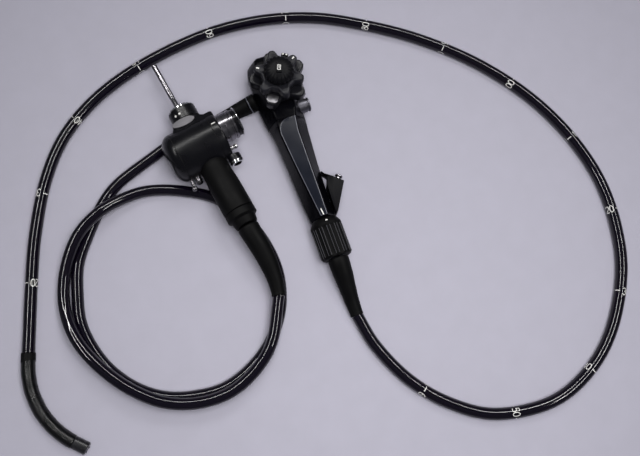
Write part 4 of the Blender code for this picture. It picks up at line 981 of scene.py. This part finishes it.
@dataclass(frozen=True)
class StrainRelief:
    """Tapered boots that carry the cords, each with its radius at even shares of the way."""

    tube_radii: tuple[float, ...] = (0.0122, 0.0114, 0.0097, 0.0083, 0.0072)
    exit_radii: tuple[float, ...] = (0.0102, 0.0093, 0.0081, 0.0073)
    far_radii: tuple[float, ...] = (0.0123, 0.0118, 0.0108, 0.0092, 0.0075)

    def build(self) -> None:
        """Add the three boots."""
        ring_x, ring_z, end = -1.3 * MM, 19.5 * MM, -209.8 * MM
        tube = [(ring_x, end - 1.5 * MM, ring_z), (ring_x, end - 8 * MM, ring_z),
                (ring_x, end - 30 * MM, 14.3 * MM), (ring_x, end - 50 * MM, 9.4 * MM)]
        self._boot("insertion_boot_moulding", tube, Vector(TUBE_ROUTE[0]), self.tube_radii, "insertion_boot")
        exit_route = [(-0.0368, -0.0022, 0.0149), (-0.049, -0.0030, 0.0112), (-0.060, -0.0042, 0.0090)]
        self._boot("cord_boot_moulding", exit_route, Vector(CORD_ROUTE[0]), self.exit_radii, "cord_boot")
        far = [(-0.0857, -0.1465, 0.0330), (-0.0843, -0.1545, 0.0326), (-0.0803, -0.171, 0.0304),
               (-0.0770, -0.190, 0.0272), (-0.0757, -0.211, 0.0239)]
        self._boot("connector_boot_moulding", far, Vector(CORD_ROUTE[-1]), self.far_radii, "connector_boot")

    @staticmethod
    def _boot(name: str, route: list[Point], tip: Vector, radii: tuple[float, ...], node: str) -> None:
        """Add one boot, smooth with a rolled lip at its thin end.

        Args:
            name: the boot's name.
            route: points along its axis from its thick end.
            tip: where its thin end stands.
            radii: its radius at even shares of the way.
            node: the frame's node that it stands for.
        """
        points = Shape.even([*route, tuple(tip)], 1.2 * MM)
        count = len(radii) - 1

        def radius(share: float) -> float:
            """Return the radius at a share of the way.

            Args:
                share: 0 at the start and 1 at the end.

            Returns:
                The radius there.
            """
            at = min(share * count, count - 1e-6)
            low = int(at)
            mix = at - low
            mix = mix * mix * (3.0 - 2.0 * mix) * 0.4 + mix * 0.6
            lip = 0.35 * MM * math.exp(-((share - 0.985) / 0.012) ** 2)
            eased_end = -0.9 * MM * math.exp(-(share / 0.012) ** 2)
            return radii[low] + (radii[low + 1] - radii[low]) * mix + lip + eased_end

        Piece.add(name, Shape.swept(points, radius, 48), "silicone_moulded", slot="soft_black",
                  replaces=[node])


@dataclass(frozen=True)
class KnobSizes:
    """Sizes of one lobed knob."""

    name: str
    body: Body
    radius: float
    depth: float
    lobes: int
    low: float
    height: float
    turn: float
    finish: str


@dataclass(frozen=True)
class KnobStack:
    """Lock lever, two lobed knobs and the ridged lock knob."""

    knobs: tuple[KnobSizes, ...] = (
        KnobSizes("ud_knob", Body.UD_CONTROL, 34.0 * MM, 10.0 * MM, 5, 46.6 * MM, 13.5 * MM,
                  math.radians(20.0), "abs_polished"),
        KnobSizes("rl_knob", Body.RL_CONTROL, 28.3 * MM, 8.3 * MM, 6, 61.7 * MM, 12.5 * MM,
                  math.radians(30.0), "abs_satin"),
    )

    def build(self) -> None:
        """Add the whole stack."""
        for sizes in self.knobs:
            self._knob(sizes)
        self._lever()
        self._lock_knob()

    @staticmethod
    def _outline(sizes: KnobSizes, z: float, shrink: float, soften: float = 0.0) -> list[Vector]:
        """Draw one lobed outline of a knob.

        Args:
            sizes: the knob's sizes.
            z: height of the outline.
            shrink: how far it is drawn in.
            soften: 0 for full lobes, 1 for a circle.

        Returns:
            The outline.
        """
        steps = sizes.lobes * 24
        ring = []
        for i in range(steps):
            angle = sizes.turn + math.tau * i / steps
            away = abs((i / 24 + 0.5) % 1.0 - 0.5)
            fall = min(max((away - 0.055) / 0.29, 0.0), 1.0)
            reach = sizes.radius - shrink - sizes.depth * fall * fall * (3.0 - 2.0 * fall) * (1.0 - soften)
            ring.append(Vector((reach * math.cos(angle), reach * math.sin(angle), z)))
        return ring

    def _knob(self, sizes: KnobSizes) -> None:
        """Add one knob: rounded lobes, a dished top with a raised hub and a relieved underside.

        Args:
            sizes: the knob's sizes.
        """
        low, top, ease = sizes.low, sizes.low + sizes.height, 2.6 * MM
        hub = sizes.radius * 0.52
        bends = [math.pi / 2 * k / 5 for k in range(6)]
        levels = [(low + 1.2 * MM, 13.0 * MM, 0.8), (low, 10.5 * MM, 0.5)]
        levels += [(low + ease * (1 - math.cos(bend)), ease * (1 - math.sin(bend)), 0.0) for bend in bends]
        levels += [(top - ease * (1 - math.sin(bend)), ease * (1 - math.cos(bend)), 0.0) for bend in bends]
        levels += [(top - 0.2 * MM, ease + 2.6 * MM, 0.21), (top - 1.0 * MM, sizes.radius * 0.31, 0.6),
                   (top - 1.3 * MM, sizes.radius - hub - 0.8 * MM, 1.0),
                   (top - 0.2 * MM, sizes.radius - hub, 1.0)]
        Piece.add(f"{sizes.name}_moulding", Shape.loft([self._outline(sizes, *level) for level in levels]),
                  sizes.finish, sizes.body, "soft_black", [sizes.name], crease=40)
        if sizes.name == "rl_knob":
            self._knob_marks(sizes, top)
        else:
            self._knob_plate(sizes, top)

    @staticmethod
    def _knob_marks(sizes: KnobSizes, top: float) -> None:
        """Add a plain white bar on each of two lobes of the upper knob.

        Args:
            sizes: the knob's sizes.
            top: height of its top.
        """
        for i, lobe in enumerate((0, 2)):
            place = (Matrix.Rotation(sizes.turn + math.tau * lobe / sizes.lobes, 4, "Z")
                     @ Matrix.Translation((sizes.radius - 4.3 * MM, 0.0, top - 0.02 * MM)))
            Piece.add(f"rl_knob_mark_{i + 1}", Shape.bar(3.4, 1.6, 0.0, 0.12 * MM), "ink_printed", sizes.body,
                      "soft_black", place=place)

    @staticmethod
    def _knob_plate(sizes: KnobSizes, top: float) -> None:
        """Add the pale plate on the lower knob's lobe that points down the grip.

        Args:
            sizes: the knob's sizes.
            top: height of its top.
        """
        lobe = round((math.radians(-108.0) - sizes.turn) / (math.tau / sizes.lobes))
        angle = sizes.turn + math.tau * lobe / sizes.lobes
        corners = ((-5.2, -6.4), (2.2, -6.0), (4.2, -3.6), (4.2, 3.6), (2.2, 6.0), (-5.2, 6.4))
        outline = Shape.rounded([(x * MM, y * MM) for x, y in corners], 0.8 * MM, 4)
        mesh = Shape.block(outline, 0.0, 0.3 * MM, 0.08 * MM, 2)
        place = (Matrix.Rotation(angle, 4, "Z")
                 @ Matrix.Translation((sizes.radius - 7.4 * MM, 0.0, top - 0.18 * MM)))
        Piece.add("ud_knob_plate", mesh, "aluminium_brushed", sizes.body, "soft_black", place=place)

    @staticmethod
    def _lever() -> None:
        """Add the lock lever with its two-bump thumb tab, and a white disc of painted glint on each bump."""
        turn = Matrix.Rotation(math.radians(60.0), 4, "Z")
        bump_places = [Matrix.Translation((36.9 * MM, across * MM, 0.0)) for across in (-2.1, 2.1)]
        hub = [(7.4, 42.8), (12.1, 42.8), (12.5, 43.2), (12.5, 45.4), (12.1, 45.8), (7.4, 45.8)]
        arm = [(10.6, -4.2), (30.0, -3.0), (34.0, -4.4), (39.4, -4.0), (39.4, 4.0), (34.0, 4.4), (30.0, 3.0),
               (10.6, 4.2)]
        outline = Shape.rounded([(x * MM, y * MM) for x, y in arm], 1.4 * MM, 5)
        bump = [(0.0, 45.2), (1.7, 45.2), (1.7, 46.6), (1.3, 47.3), (0.6, 47.6), (0.0, 47.6)]
        parts = [Shape.spun(hub, None, 56, closed=True),
                 Shape.block(outline, 43.0 * MM, 45.6 * MM, 0.5 * MM, 3)]
        parts += [Shape.spun(bump, place, 24) for place in bump_places]
        Piece.add("ud_lock_lever_moulding", Piece.merged(parts), "polyphenylene_moulded", Body.UD_LOCK,
                  "black_plastic", ["ud_lock_lever"], place=turn)
        # The white discs on the bumps are painted glints, in the printed-ink finish.
        for i, place in enumerate(bump_places):
            spot = Shape.spun([(0.0, 47.55), (1.05, 47.55), (1.05, 47.7), (0.0, 47.7)], place, 20)
            Piece.add(f"ud_lock_painted_glint_{i + 1}", spot, "ink_printed", Body.UD_LOCK, "black_plastic", place=turn)

    @staticmethod
    def _lock_knob() -> None:
        """Add the fluted lock knob, the short boss on it and the boss's plain marks."""
        low, top = 75.0, 86.5

        def ridge(angle: float, radius: float, height: float) -> float:
            """Return the depth of the flutes round the knob's side."""
            share = min(1.0, max(0.0, (radius - 8.0 * MM) / (5.0 * MM)))
            return -0.9 * MM * share * (0.5 - 0.5 * math.cos(20.0 * angle)) ** 1.4

        profile = [(0.0, low), (15.8, low), (16.6, low + 0.5), (16.9, low + 1.4), (16.9, low + 4.6)]
        profile += [(4.5 + 12.4 * math.cos(bend), low + 4.6 + 6.9 * math.sin(bend))
                    for bend in (math.pi / 2 * k / 12 for k in range(1, 13))]
        profile += [(2.0, top + 0.05), (0.0, top + 0.05)]
        Piece.add("rl_lock_knob_moulding", Shape.spun(profile, None, 240, ridge), "abs_matt", Body.RL_LOCK,
                  "soft_black", ["rl_lock_knob"], crease=60)
        turn = Matrix.Rotation(math.radians(-20.0), 4, "Z")
        corners = ((-3.4, -6.5), (3.4, -6.5), (3.4, 6.5), (-3.4, 6.5))
        boss = Shape.rounded([(x * MM, y * MM) for x, y in corners], 1.6 * MM, 5)
        Piece.add("rl_lock_bar", Shape.block(boss, (top - 5.0) * MM, (top + 1.3) * MM, 0.9 * MM, 3),
                  "abs_matt", Body.RL_LOCK, "soft_black", place=turn)
        frame_bars = ((-1.6, -0.6, 0.7, 6.0), (1.6, -0.6, 0.7, 6.0), (0.0, 2.1, 2.6, 0.7),
                      (0.0, -3.3, 2.6, 0.7), (0.0, -0.3, 0.9, 3.0))
        marks = [Shape.bar(wide, tall, (top + 1.2) * MM, (top + 1.42) * MM, (x, y))
                 for x, y, wide, tall in frame_bars]
        Piece.add("rl_lock_mark", Piece.merged(marks), "ink_printed", Body.RL_LOCK, "soft_black", place=turn)


@dataclass(frozen=True)
class StiffnessRing:
    """Turning ring at the grip's end, with its flutes and marks."""

    start: Point = (-1.3 * MM, -163.3 * MM, 19.5 * MM)
    flutes: int = 12

    def build(self) -> None:
        """Add the fluted ring, the two fine ribs on each flute, whose grey is a painted highlight, and the
        index dot.
        """
        place = Shape.along(self.start, (0, -1, 0))

        def flute(angle: float, radius: float, height: float) -> float:
            """Return how far the flutes cut in at a place on the ring.

            Args:
                angle: angle round the ring.
                radius: distance from its axis.
                height: distance from its first end.

            Returns:
                The change of radius.
            """
            share = min(1.0, max(0.0, (height - 8.5 * MM) / (3.0 * MM)),
                        max(0.0, (45.5 * MM - height) / (2.5 * MM)))
            return -1.7 * MM * share * (0.5 - 0.5 * math.cos(self.flutes * angle)) ** 0.7

        profile = [(0.0, 0.0), (13.6, 0.0), (14.4, 0.5), (15.6, 2.4), (17.2, 5.2), (18.1, 7.2), (18.2, 8.4)]
        profile += [(18.2 - 0.02 * k, 9.0 + 1.5 * k) for k in range(1, 24)]
        profile += [(17.2, 44.8), (16.6, 45.8), (15.6, 46.4), (12.5, 46.5), (0.0, 46.5)]
        Piece.add("stiffness_ring_moulding", Shape.spun(profile, place, 144, flute), "silicone_moulded",
                  Body.STIFFNESS, "soft_black", ["stiffness_ring"], crease=40)
        # The ribs' grey stands for the light caught along the flutes: a painted highlight.
        ribs, reach = [], 17.92
        for angle in (math.tau * k / self.flutes + shift for k in range(self.flutes)
                      for shift in (-0.105, 0.105)):
            line = [place @ (Vector((reach * math.cos(angle), reach * math.sin(angle), 10.5 + 1.45 * j)) * MM)
                    for j in range(24)]
            ribs.append(Shape.swept(line, lambda share: 0.32 * MM, 8))
        Piece.add("stiffness_ring_highlight_ribs", Piece.merged(ribs), "silicone_painted_highlight", Body.STIFFNESS, "soft_black",
                  crease=60)
        dot_place = Matrix.Translation(Vector((-1.0, -168.4, 36.55)) * MM) @ Matrix.Rotation(0.5, 4, "X")
        dot = Shape.spun([(0.0, 0.0), (1.4, 0.0), (1.4, 0.25), (0.0, 0.25)], dot_place, 20)
        Piece.add("stiffness_ring_dot", dot, "ink_printed", Body.STIFFNESS, "soft_black")


@dataclass
class BendingCover:
    """Ribbed rubber cover of the bending section, one length over each joint."""

    radius: float = 7.35 * MM
    ribs: int = 8

    def __post_init__(self) -> None:
        """Read the bending joints from the frame."""
        self.joints = [j for j in frame["record"]["behaviour"]["joints"] if j["name"].startswith("bend_")]
        self.hinges = [Vector(j["pos_m"]) for j in self.joints]

    def build(self) -> None:
        """Add one length of cover over each hinge, from the collar to the tip."""
        start = self.hinges[0] - (self.hinges[1] - self.hinges[0]).normalized() * 4.4 * MM
        tip_low, tip_high = (Vector(v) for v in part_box("distal_tip"))
        tip_middle = (tip_low + tip_high) / 2.0
        last = self.hinges[-1] + (tip_middle - self.hinges[-1]).normalized() * 4.7 * MM
        middles = [start] + [(a + b) / 2.0 for a, b in zip(self.hinges, self.hinges[1:])] + [last]
        for i, (before, hinge, after) in enumerate(zip(middles, self.hinges, middles[1:])):
            mesh = Shape.swept(self._line(before, hinge, after), self._rib, 36)
            nodes = [f"bending_ring_{i + 1:02d}"]
            cover = Piece.add(f"bending_cover_{i + 1:02d}", mesh, "fluororubber_moulded", None, "soft_black",
                              nodes, crease=70)
            parent, child = self.joints[i]["parent"], self.joints[i]["child"]
            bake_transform(cover)

    @staticmethod
    def _line(before: Vector, hinge: Vector, after: Vector) -> list[Vector]:
        """Draw a smooth line that passes near a hinge.

        Args:
            before: the line's start.
            hinge: the hinge's place.
            after: the line's end.

        Returns:
            Close points on the line.
        """
        control = (hinge * 2.0 - (before + after) / 2.0).lerp(hinge, 0.5)
        return [before * (1 - t) ** 2 + control * 2 * t * (1 - t) + after * t ** 2
                for t in (k / 48 for k in range(49))]

    def _rib(self, share: float) -> float:
        """Return the cover's radius, with fine ribs along it."""
        return self.radius + 0.10 * MM * math.cos(math.tau * self.ribs * share)


@dataclass(frozen=True)
class ConnectorSizes:
    """Sizes of the light connector, in its own frame.

    The sizes of its head and sleeve are in millimetres, as the turned profiles are.
    """

    origin: Point = (-0.1096, -0.0333, 0.0306)
    turn: float = math.radians(10.3)
    pitch: float = math.radians(-1.2)
    drum_centre: float = -8.0 * MM
    drum_radius: float = 28.0 * MM
    drum_height: float = 30.0 * MM
    left: float = -26.0 * MM
    right: float = 28.9 * MM
    band_start: float = 19.5 * MM
    cap_reach: float = 13.4 * MM
    head_x: float = 2.2
    head_radius: float = 16.3
    sleeve_x: float = 3.2


class LightConnector:
    """Drum, head, socket, sleeve and fittings of the light connector."""

    def __init__(self, sizes: ConnectorSizes) -> None:
        """Place the connector's own frame.

        Args:
            sizes: the connector's sizes.
        """
        self.sizes = sizes
        self.place = (Matrix.Translation(sizes.origin) @ Matrix.Rotation(sizes.turn, 4, "Z")
                      @ Matrix.Rotation(sizes.pitch, 4, "X"))

    def _drum(self, u: float, scale: float) -> list[Vector]:
        """Draw one elliptic outline of the drum.

        Args:
            u: its place along the drum's axis.
            scale: its size as a share of the drum's.

        Returns:
            The outline.
        """
        steps, s = 96, self.sizes
        return [Vector((u, s.drum_centre + s.drum_radius * scale * math.cos(math.tau * i / steps),
                        s.drum_height * scale * math.sin(math.tau * i / steps))) for i in range(steps)]

    def _turned(self, name: str, profile: Sequence[tuple[float, float]], start: Point, direction: Point,
                steps: int, finish: str, slot: str, node: str = "", closed: bool = False,
                wave: Optional[Callable[[float, float, float], float]] = None) -> None:
        """Add one turned piece of the connector.

        Args:
            name: the piece's name.
            profile: (radius, height) points in millimetres.
            start: where its axis starts, in millimetres of the connector's frame.
            direction: where its axis points.
            steps: points round.
            finish: name of its material.
            slot: material slot of the record.
            node: the frame's node that it stands for, if any.
            closed: whether the profile is a ring that stays off the axis.
            wave: change of radius for (angle, radius, height).
        """
        place = self.place @ Shape.along(Vector(start) * MM, direction)
        Piece.add(name, Shape.spun(profile, place, steps, wave, closed), finish, slot=slot,
                  replaces=[node] if node else [], crease=30)

    def build(self) -> None:
        """Add every visible piece of the connector."""
        self._body()
        self._head()
        self._socket()
        self._fittings()
        self._sleeve()

    def _body(self) -> None:
        """Add the drum with its raised band and shoulder, the domed cap and the two seams, drawn as
        near-black bands of painted shade.
        """
        s, ease = self.sizes, 2.2 * MM
        band = 1.0 + 0.4 * MM / s.drum_radius
        rings = [self._drum(s.left, 0.995), self._drum(s.left + 0.4 * MM, 1.0), self._drum(s.band_start, 1.0),
                 self._drum(s.band_start + 0.2 * MM, band)]
        rings += [self._drum(s.right - ease * (1 - math.sin(bend)),
                             band - ease * (1 - math.cos(bend)) / s.drum_radius)
                  for bend in (math.pi / 2 * k / 5 for k in range(6))]
        Piece.add("connector_drum", Piece.merged([Shape.loft(rings), self._shoulder()]),
                  "polysulphone_moulded", slot="black_plastic", replaces=["connector_body"], crease=34,
                  place=self.place)
        cap = [self._drum(s.left - 0.3 * MM - s.cap_reach * math.sin(bend), math.cos(bend) ** 0.62)
               for bend in (math.pi / 2 * k / 13 for k in range(13))]
        Piece.add("connector_dome", Shape.loft(cap), "polysulphone_moulded", slot="soft_black",
                  replaces=["connector_cap"], crease=34, place=self.place)
        # Each seam is a near-black band just proud of the drum: painted shade in the gap.
        for i, u in enumerate((s.left - 0.15 * MM, s.band_start - 0.2 * MM)):
            seam = [self._drum(u - 0.25 * MM, 1.002), self._drum(u + 0.25 * MM, 1.002)]
            Piece.add(f"connector_seam_{i + 1}", Shape.loft(seam), "seam_painted_shade", slot="soft_black",
                      place=self.place)

    @staticmethod
    def _shoulder() -> bmesh.types.BMesh:
        """Make the block between drum and head, with eased rims and a sloping upper face.

        Returns:
            The closed skin.
        """
        corners = [(29.6, 0.0), (29.8, 19.2), (20.5, 19.0), (17.0, 21.5), (15.6, 26.0), (-13.6, 26.0),
                   (-20.0, 14.0), (-20.0, 0.0)]
        outline = Shape.rounded([(x * MM, y * MM) for x, y in corners], 2.6 * MM, 8)
        centre, reach, ease = Vector((4.0, 8.0)) * MM, 22.0 * MM, 1.6 * MM
        base, top, top_y, slope = -15.5 * MM, 18.1 * MM, 20.3 * MM, math.tan(math.radians(20.4))
        bends = [math.pi / 2 * k / 5 for k in range(6)]
        rings = []
        for bend, upper in [(b, False) for b in reversed(bends)] + [(b, True) for b in bends]:
            lift, inset = ease * (1 - math.sin(bend)), ease * (1 - math.cos(bend))
            ring = [centre + (p - centre) * (1.0 - inset / reach) for p in outline]
            rings.append([Vector((q.x, q.y, top - (q.y - top_y) * slope - lift if upper else base + lift))
                          for q in ring])
        return Shape.loft(rings)

    def _head(self) -> None:
        """Add the black head with its two dots, the bright rim and its face, the pin and the index line."""
        s = self.sizes
        base, rim_base = (s.head_x, 26.0, 0.0), (s.head_x, 38.0, 0.0)
        rod_base, up = (0.6, 0.0, 0.0), (0, 1, 0)
        neck = [(0.0, 0.0), (15.5, 0.0), (15.5, 1.2), (16.3, 1.6), (16.3, 14.6), (15.0, 14.8), (0.0, 14.8)]
        self._turned("connector_neck", neck, base, up, 96, "polysulphone_moulded", "black_plastic",
                     "connector_head")
        dot = [(0.0, 0.0), (1.35, 0.0), (1.35, 0.25), (0.0, 0.25)]
        for i, across in enumerate((-9.6, -4.6)):
            lift = math.sqrt(s.head_radius ** 2 - across ** 2)
            self._turned(f"connector_dot_{i + 1}", dot, (s.head_x + across, 33.2, lift - 0.08),
                         (across, 0, lift), 20, "ink_printed", "black_plastic")
        rim = [(0.0, 2.9), (16.2, 2.9), (16.5, 3.2), (16.5, 4.0), (16.0, 4.5), (15.2, 4.7), (14.7, 5.9),
               (14.1, 6.3), (13.2, 6.3), (13.0, 5.9), (0.0, 5.9)]
        self._turned("light_guide_rim", rim, rim_base, up, 96, "chrome_polished", "chrome", "chrome_rim")
        face = [(0.0, 5.92), (12.95, 5.92), (12.95, 6.1), (5.4, 6.1), (5.2, 6.9), (0.0, 6.9)]
        self._turned("light_guide_face", face, rim_base, up, 96, "stainless_ground", "chrome")
        pin = [(0.0, 40.3), (3.1, 40.3), (3.1, 60.0), (3.02, 60.2), (3.02, 60.8), (3.1, 61.0), (3.1, 107.2),
               (2.6, 108.0), (1.95, 108.0), (1.95, 107.3), (0.0, 107.3)]
        self._turned("light_guide_rod", pin, rod_base, up, 48, "stainless_ground", "steel", "light_guide_pin")
        lens = [(0.0, 107.2), (1.9, 107.2), (1.7, 107.65), (0.9, 107.85), (0.0, 107.9)]
        self._turned("light_guide_lens", lens, rod_base, up, 32, "sapphire_polished", "glass")
        spot = (Matrix.Translation(Vector((23.2, -1.0, 29.75)) * MM)
                @ Matrix.Rotation(math.radians(-14), 4, "X"))
        Piece.add("connector_index_line", Shape.bar(4.6, 1.4, 0.0, 0.25 * MM, (0.1, 0.0)), "ink_printed",
                  slot="black_plastic", place=self.place @ spot)

    def _socket(self) -> None:
        """Add the socket's knurled barrel with its grooves, the liner, the dark rim and the contacts."""
        start, out = (29.2, 0.0, 0.0), (1, 0, 0)

        def ridged(angle: float, radius: float, height: float) -> float:
            """Return the knurl on the barrel's outer band."""
            knurled = radius > 17.0 * MM and 0.8 * MM < height < 5.6 * MM
            return 0.12 * MM * math.cos(60.0 * angle) if knurled else 0.0

        shell = [(0.0, 0.0), (16.9, 0.0), (17.2, 0.5), (17.2, 6.0), (16.6, 6.4), (16.6, 7.2), (17.2, 7.6),
                 (17.2, 12.6), (16.2, 13.2), (16.2, 14.6), (17.2, 15.2), (17.2, 17.6), (16.9, 18.0),
                 (15.4, 18.0), (13.8, 17.4), (13.8, 8.7), (0.0, 8.7)]
        self._turned("socket_barrel", shell, start, out, 180, "stainless_ground", "steel", "socket_shell",
                     wave=ridged)
        liner = [(13.85, 17.4), (15.3, 18.1), (15.7, 19.0), (15.7, 22.2), (15.2, 22.6), (13.9, 22.6)]
        self._turned("socket_liner", liner, start, out, 72, "polysulphone_moulded", "gloss_black",
                     closed=True)
        rim = [(14.0, 22.7), (16.9, 22.7), (17.4, 23.1), (17.4, 23.9), (16.9, 24.3), (14.0, 24.3)]
        self._turned("socket_rim_turned", rim, start, out, 96, "chrome_polished", "gloss_black",
                     "socket_rim", True)
        contact = [(0.0, 0.0), (0.55, 0.0), (0.55, 1.6), (0.3, 1.9), (0.0, 1.9)]
        circles = ((4.0, 6), (8.0, 12))
        turns = [(circle, math.tau * i / count) for circle, count in circles for i in range(count)]
        places = [Vector((42.1, circle * math.cos(angle), circle * math.sin(angle)))
                  for circle, angle in turns]
        pins = [Shape.spun(contact, self.place @ Shape.along(place * MM, out), 10) for place in places]
        Piece.add("socket_contacts", Piece.merged(pins), "stainless_turned", slot="steel")

    def _fittings(self) -> None:
        """Add the suction nipple, the side port with its bright lip, the vent stud and the earth post."""
        nipple = [(0.0, 0.0), (4.2, 0.0), (4.4, 0.3), (4.4, 1.7), (3.4, 2.3), (3.2, 3.8), (4.3, 4.6),
                  (4.4, 5.4), (3.4, 6.4), (3.2, 7.2), (3.9, 8.0), (3.0, 8.9), (1.6, 8.9), (1.6, 8.3),
                  (0.0, 8.3)]
        self._turned("suction_nipple_turned", nipple, (-18.6, -36.3, -4.0), (0, -1, 0), 40,
                     "stainless_ground", "steel", "suction_nipple")
        port_start, down = (28.6, -36.6, 2.0), (0, -1, 0)
        port = [(5.0, -1.2), (7.6, -1.2), (7.6, 1.6), (7.9, 2.0), (7.9, 3.0), (7.5, 3.4), (7.5, 6.1),
                (5.0, 6.1)]
        self._turned("side_port_moulding", port, port_start, down, 56, "polysulphone_moulded",
                     "black_plastic", "side_port", True)
        lip = [(5.1, 5.9), (7.7, 5.9), (8.2, 6.3), (8.2, 7.9), (7.8, 8.4), (7.3, 8.6), (7.3, 9.2), (6.9, 9.5),
               (5.1, 9.5)]
        self._turned("side_port_ring", lip, port_start, down, 56, "chrome_polished", "chrome",
                     "side_port_lip", True)
        stud = [(0.0, -3.2), (2.6, -3.2), (2.6, 0.6), (1.7, 1.2), (1.7, 2.2), (2.7, 2.9), (3.1, 4.1),
                (2.7, 5.6), (1.4, 6.6), (0.0, 6.9)]
        self._turned("vent_stud_turned", stud, (31.9, -26.4, 2.0), (1, 0, 0), 40, "stainless_turned", "steel",
                     "vent_stud")
        post = [(0.0, 0.8), (2.6, 0.8), (2.8, 1.1), (2.8, 2.3), (1.7, 2.8), (1.5, 8.2), (2.7, 8.9),
                (2.7, 9.8), (1.7, 10.4), (1.6, 12.2), (2.6, 13.0), (3.4, 14.6), (3.2, 16.4), (2.0, 17.6),
                (0.0, 18.0)]
        self._turned("earth_post_turned", post, (-25.2, -32.4, -4.0), (-0.12, -1, 0), 36, "stainless_ground",
                     "steel", "earth_post")

    def _sleeve(self) -> None:
        """Add the sleeve with its cone, and the grooved ring."""
        sleeve = [(0.0, 0.0), (13.5, 0.0), (15.2, 5.2), (16.3, 9.2), (16.5, 11.0), (16.5, 21.5), (16.7, 25.0),
                  (17.2, 31.0), (17.5, 35.0), (17.5, 69.3), (17.0, 69.9), (0.0, 69.9)]
        ring = [(0.0, 0.0), (16.6, 0.0), (17.3, 0.5), (17.5, 1.2), (17.5, 7.9), (17.0, 8.7), (15.1, 9.8),
                (14.4, 10.6), (13.3, 16.8), (12.9, 18.0), (12.3, 18.5), (0.0, 18.5)]
        for node, profile, y in (("connector_sleeve", sleeve, -25.5), ("connector_ring", ring, -95.8)):
            self._turned(f"{node}_moulding", profile, (self.sizes.sleeve_x, y, 0.0), (0, -1, 0), 96,
                         "silicone_moulded", "soft_black", node)


class CarriedNodes:
    """Frame nodes whose shape is kept, with a finished material."""

    @staticmethod
    def build() -> None:
        """Give every frame node the finish of its slot."""
        slots = {entry["node"]: entry["material_slot"] for entry in frame["record"]["subparts"]}
        for name, node in frame["nodes"].items():
            node.data.materials.clear()
            node.data.materials.append(PALETTE[NODE_FINISHES[slots[name]]])


def main() -> None:
    """Dress the frame and report each sub-assembly; Piece.add reports each piece."""
    logging.basicConfig(level=logging.INFO)
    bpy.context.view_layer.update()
    sizes = CordSizes()
    for assembly in (Studio(), Cords(sizes), CarriedNodes(), DepthMarks(sizes.tube_radius),
                     ControlBody(BodySizes()), StrainRelief(), KnobStack(), StiffnessRing(), BendingCover(),
                     LightConnector(ConnectorSizes())):
        assembly.build()
        LOG.info("%s built, scene has %d objects", type(assembly).__name__, len(bpy.data.objects))


if __name__ == "__main__":
    main()
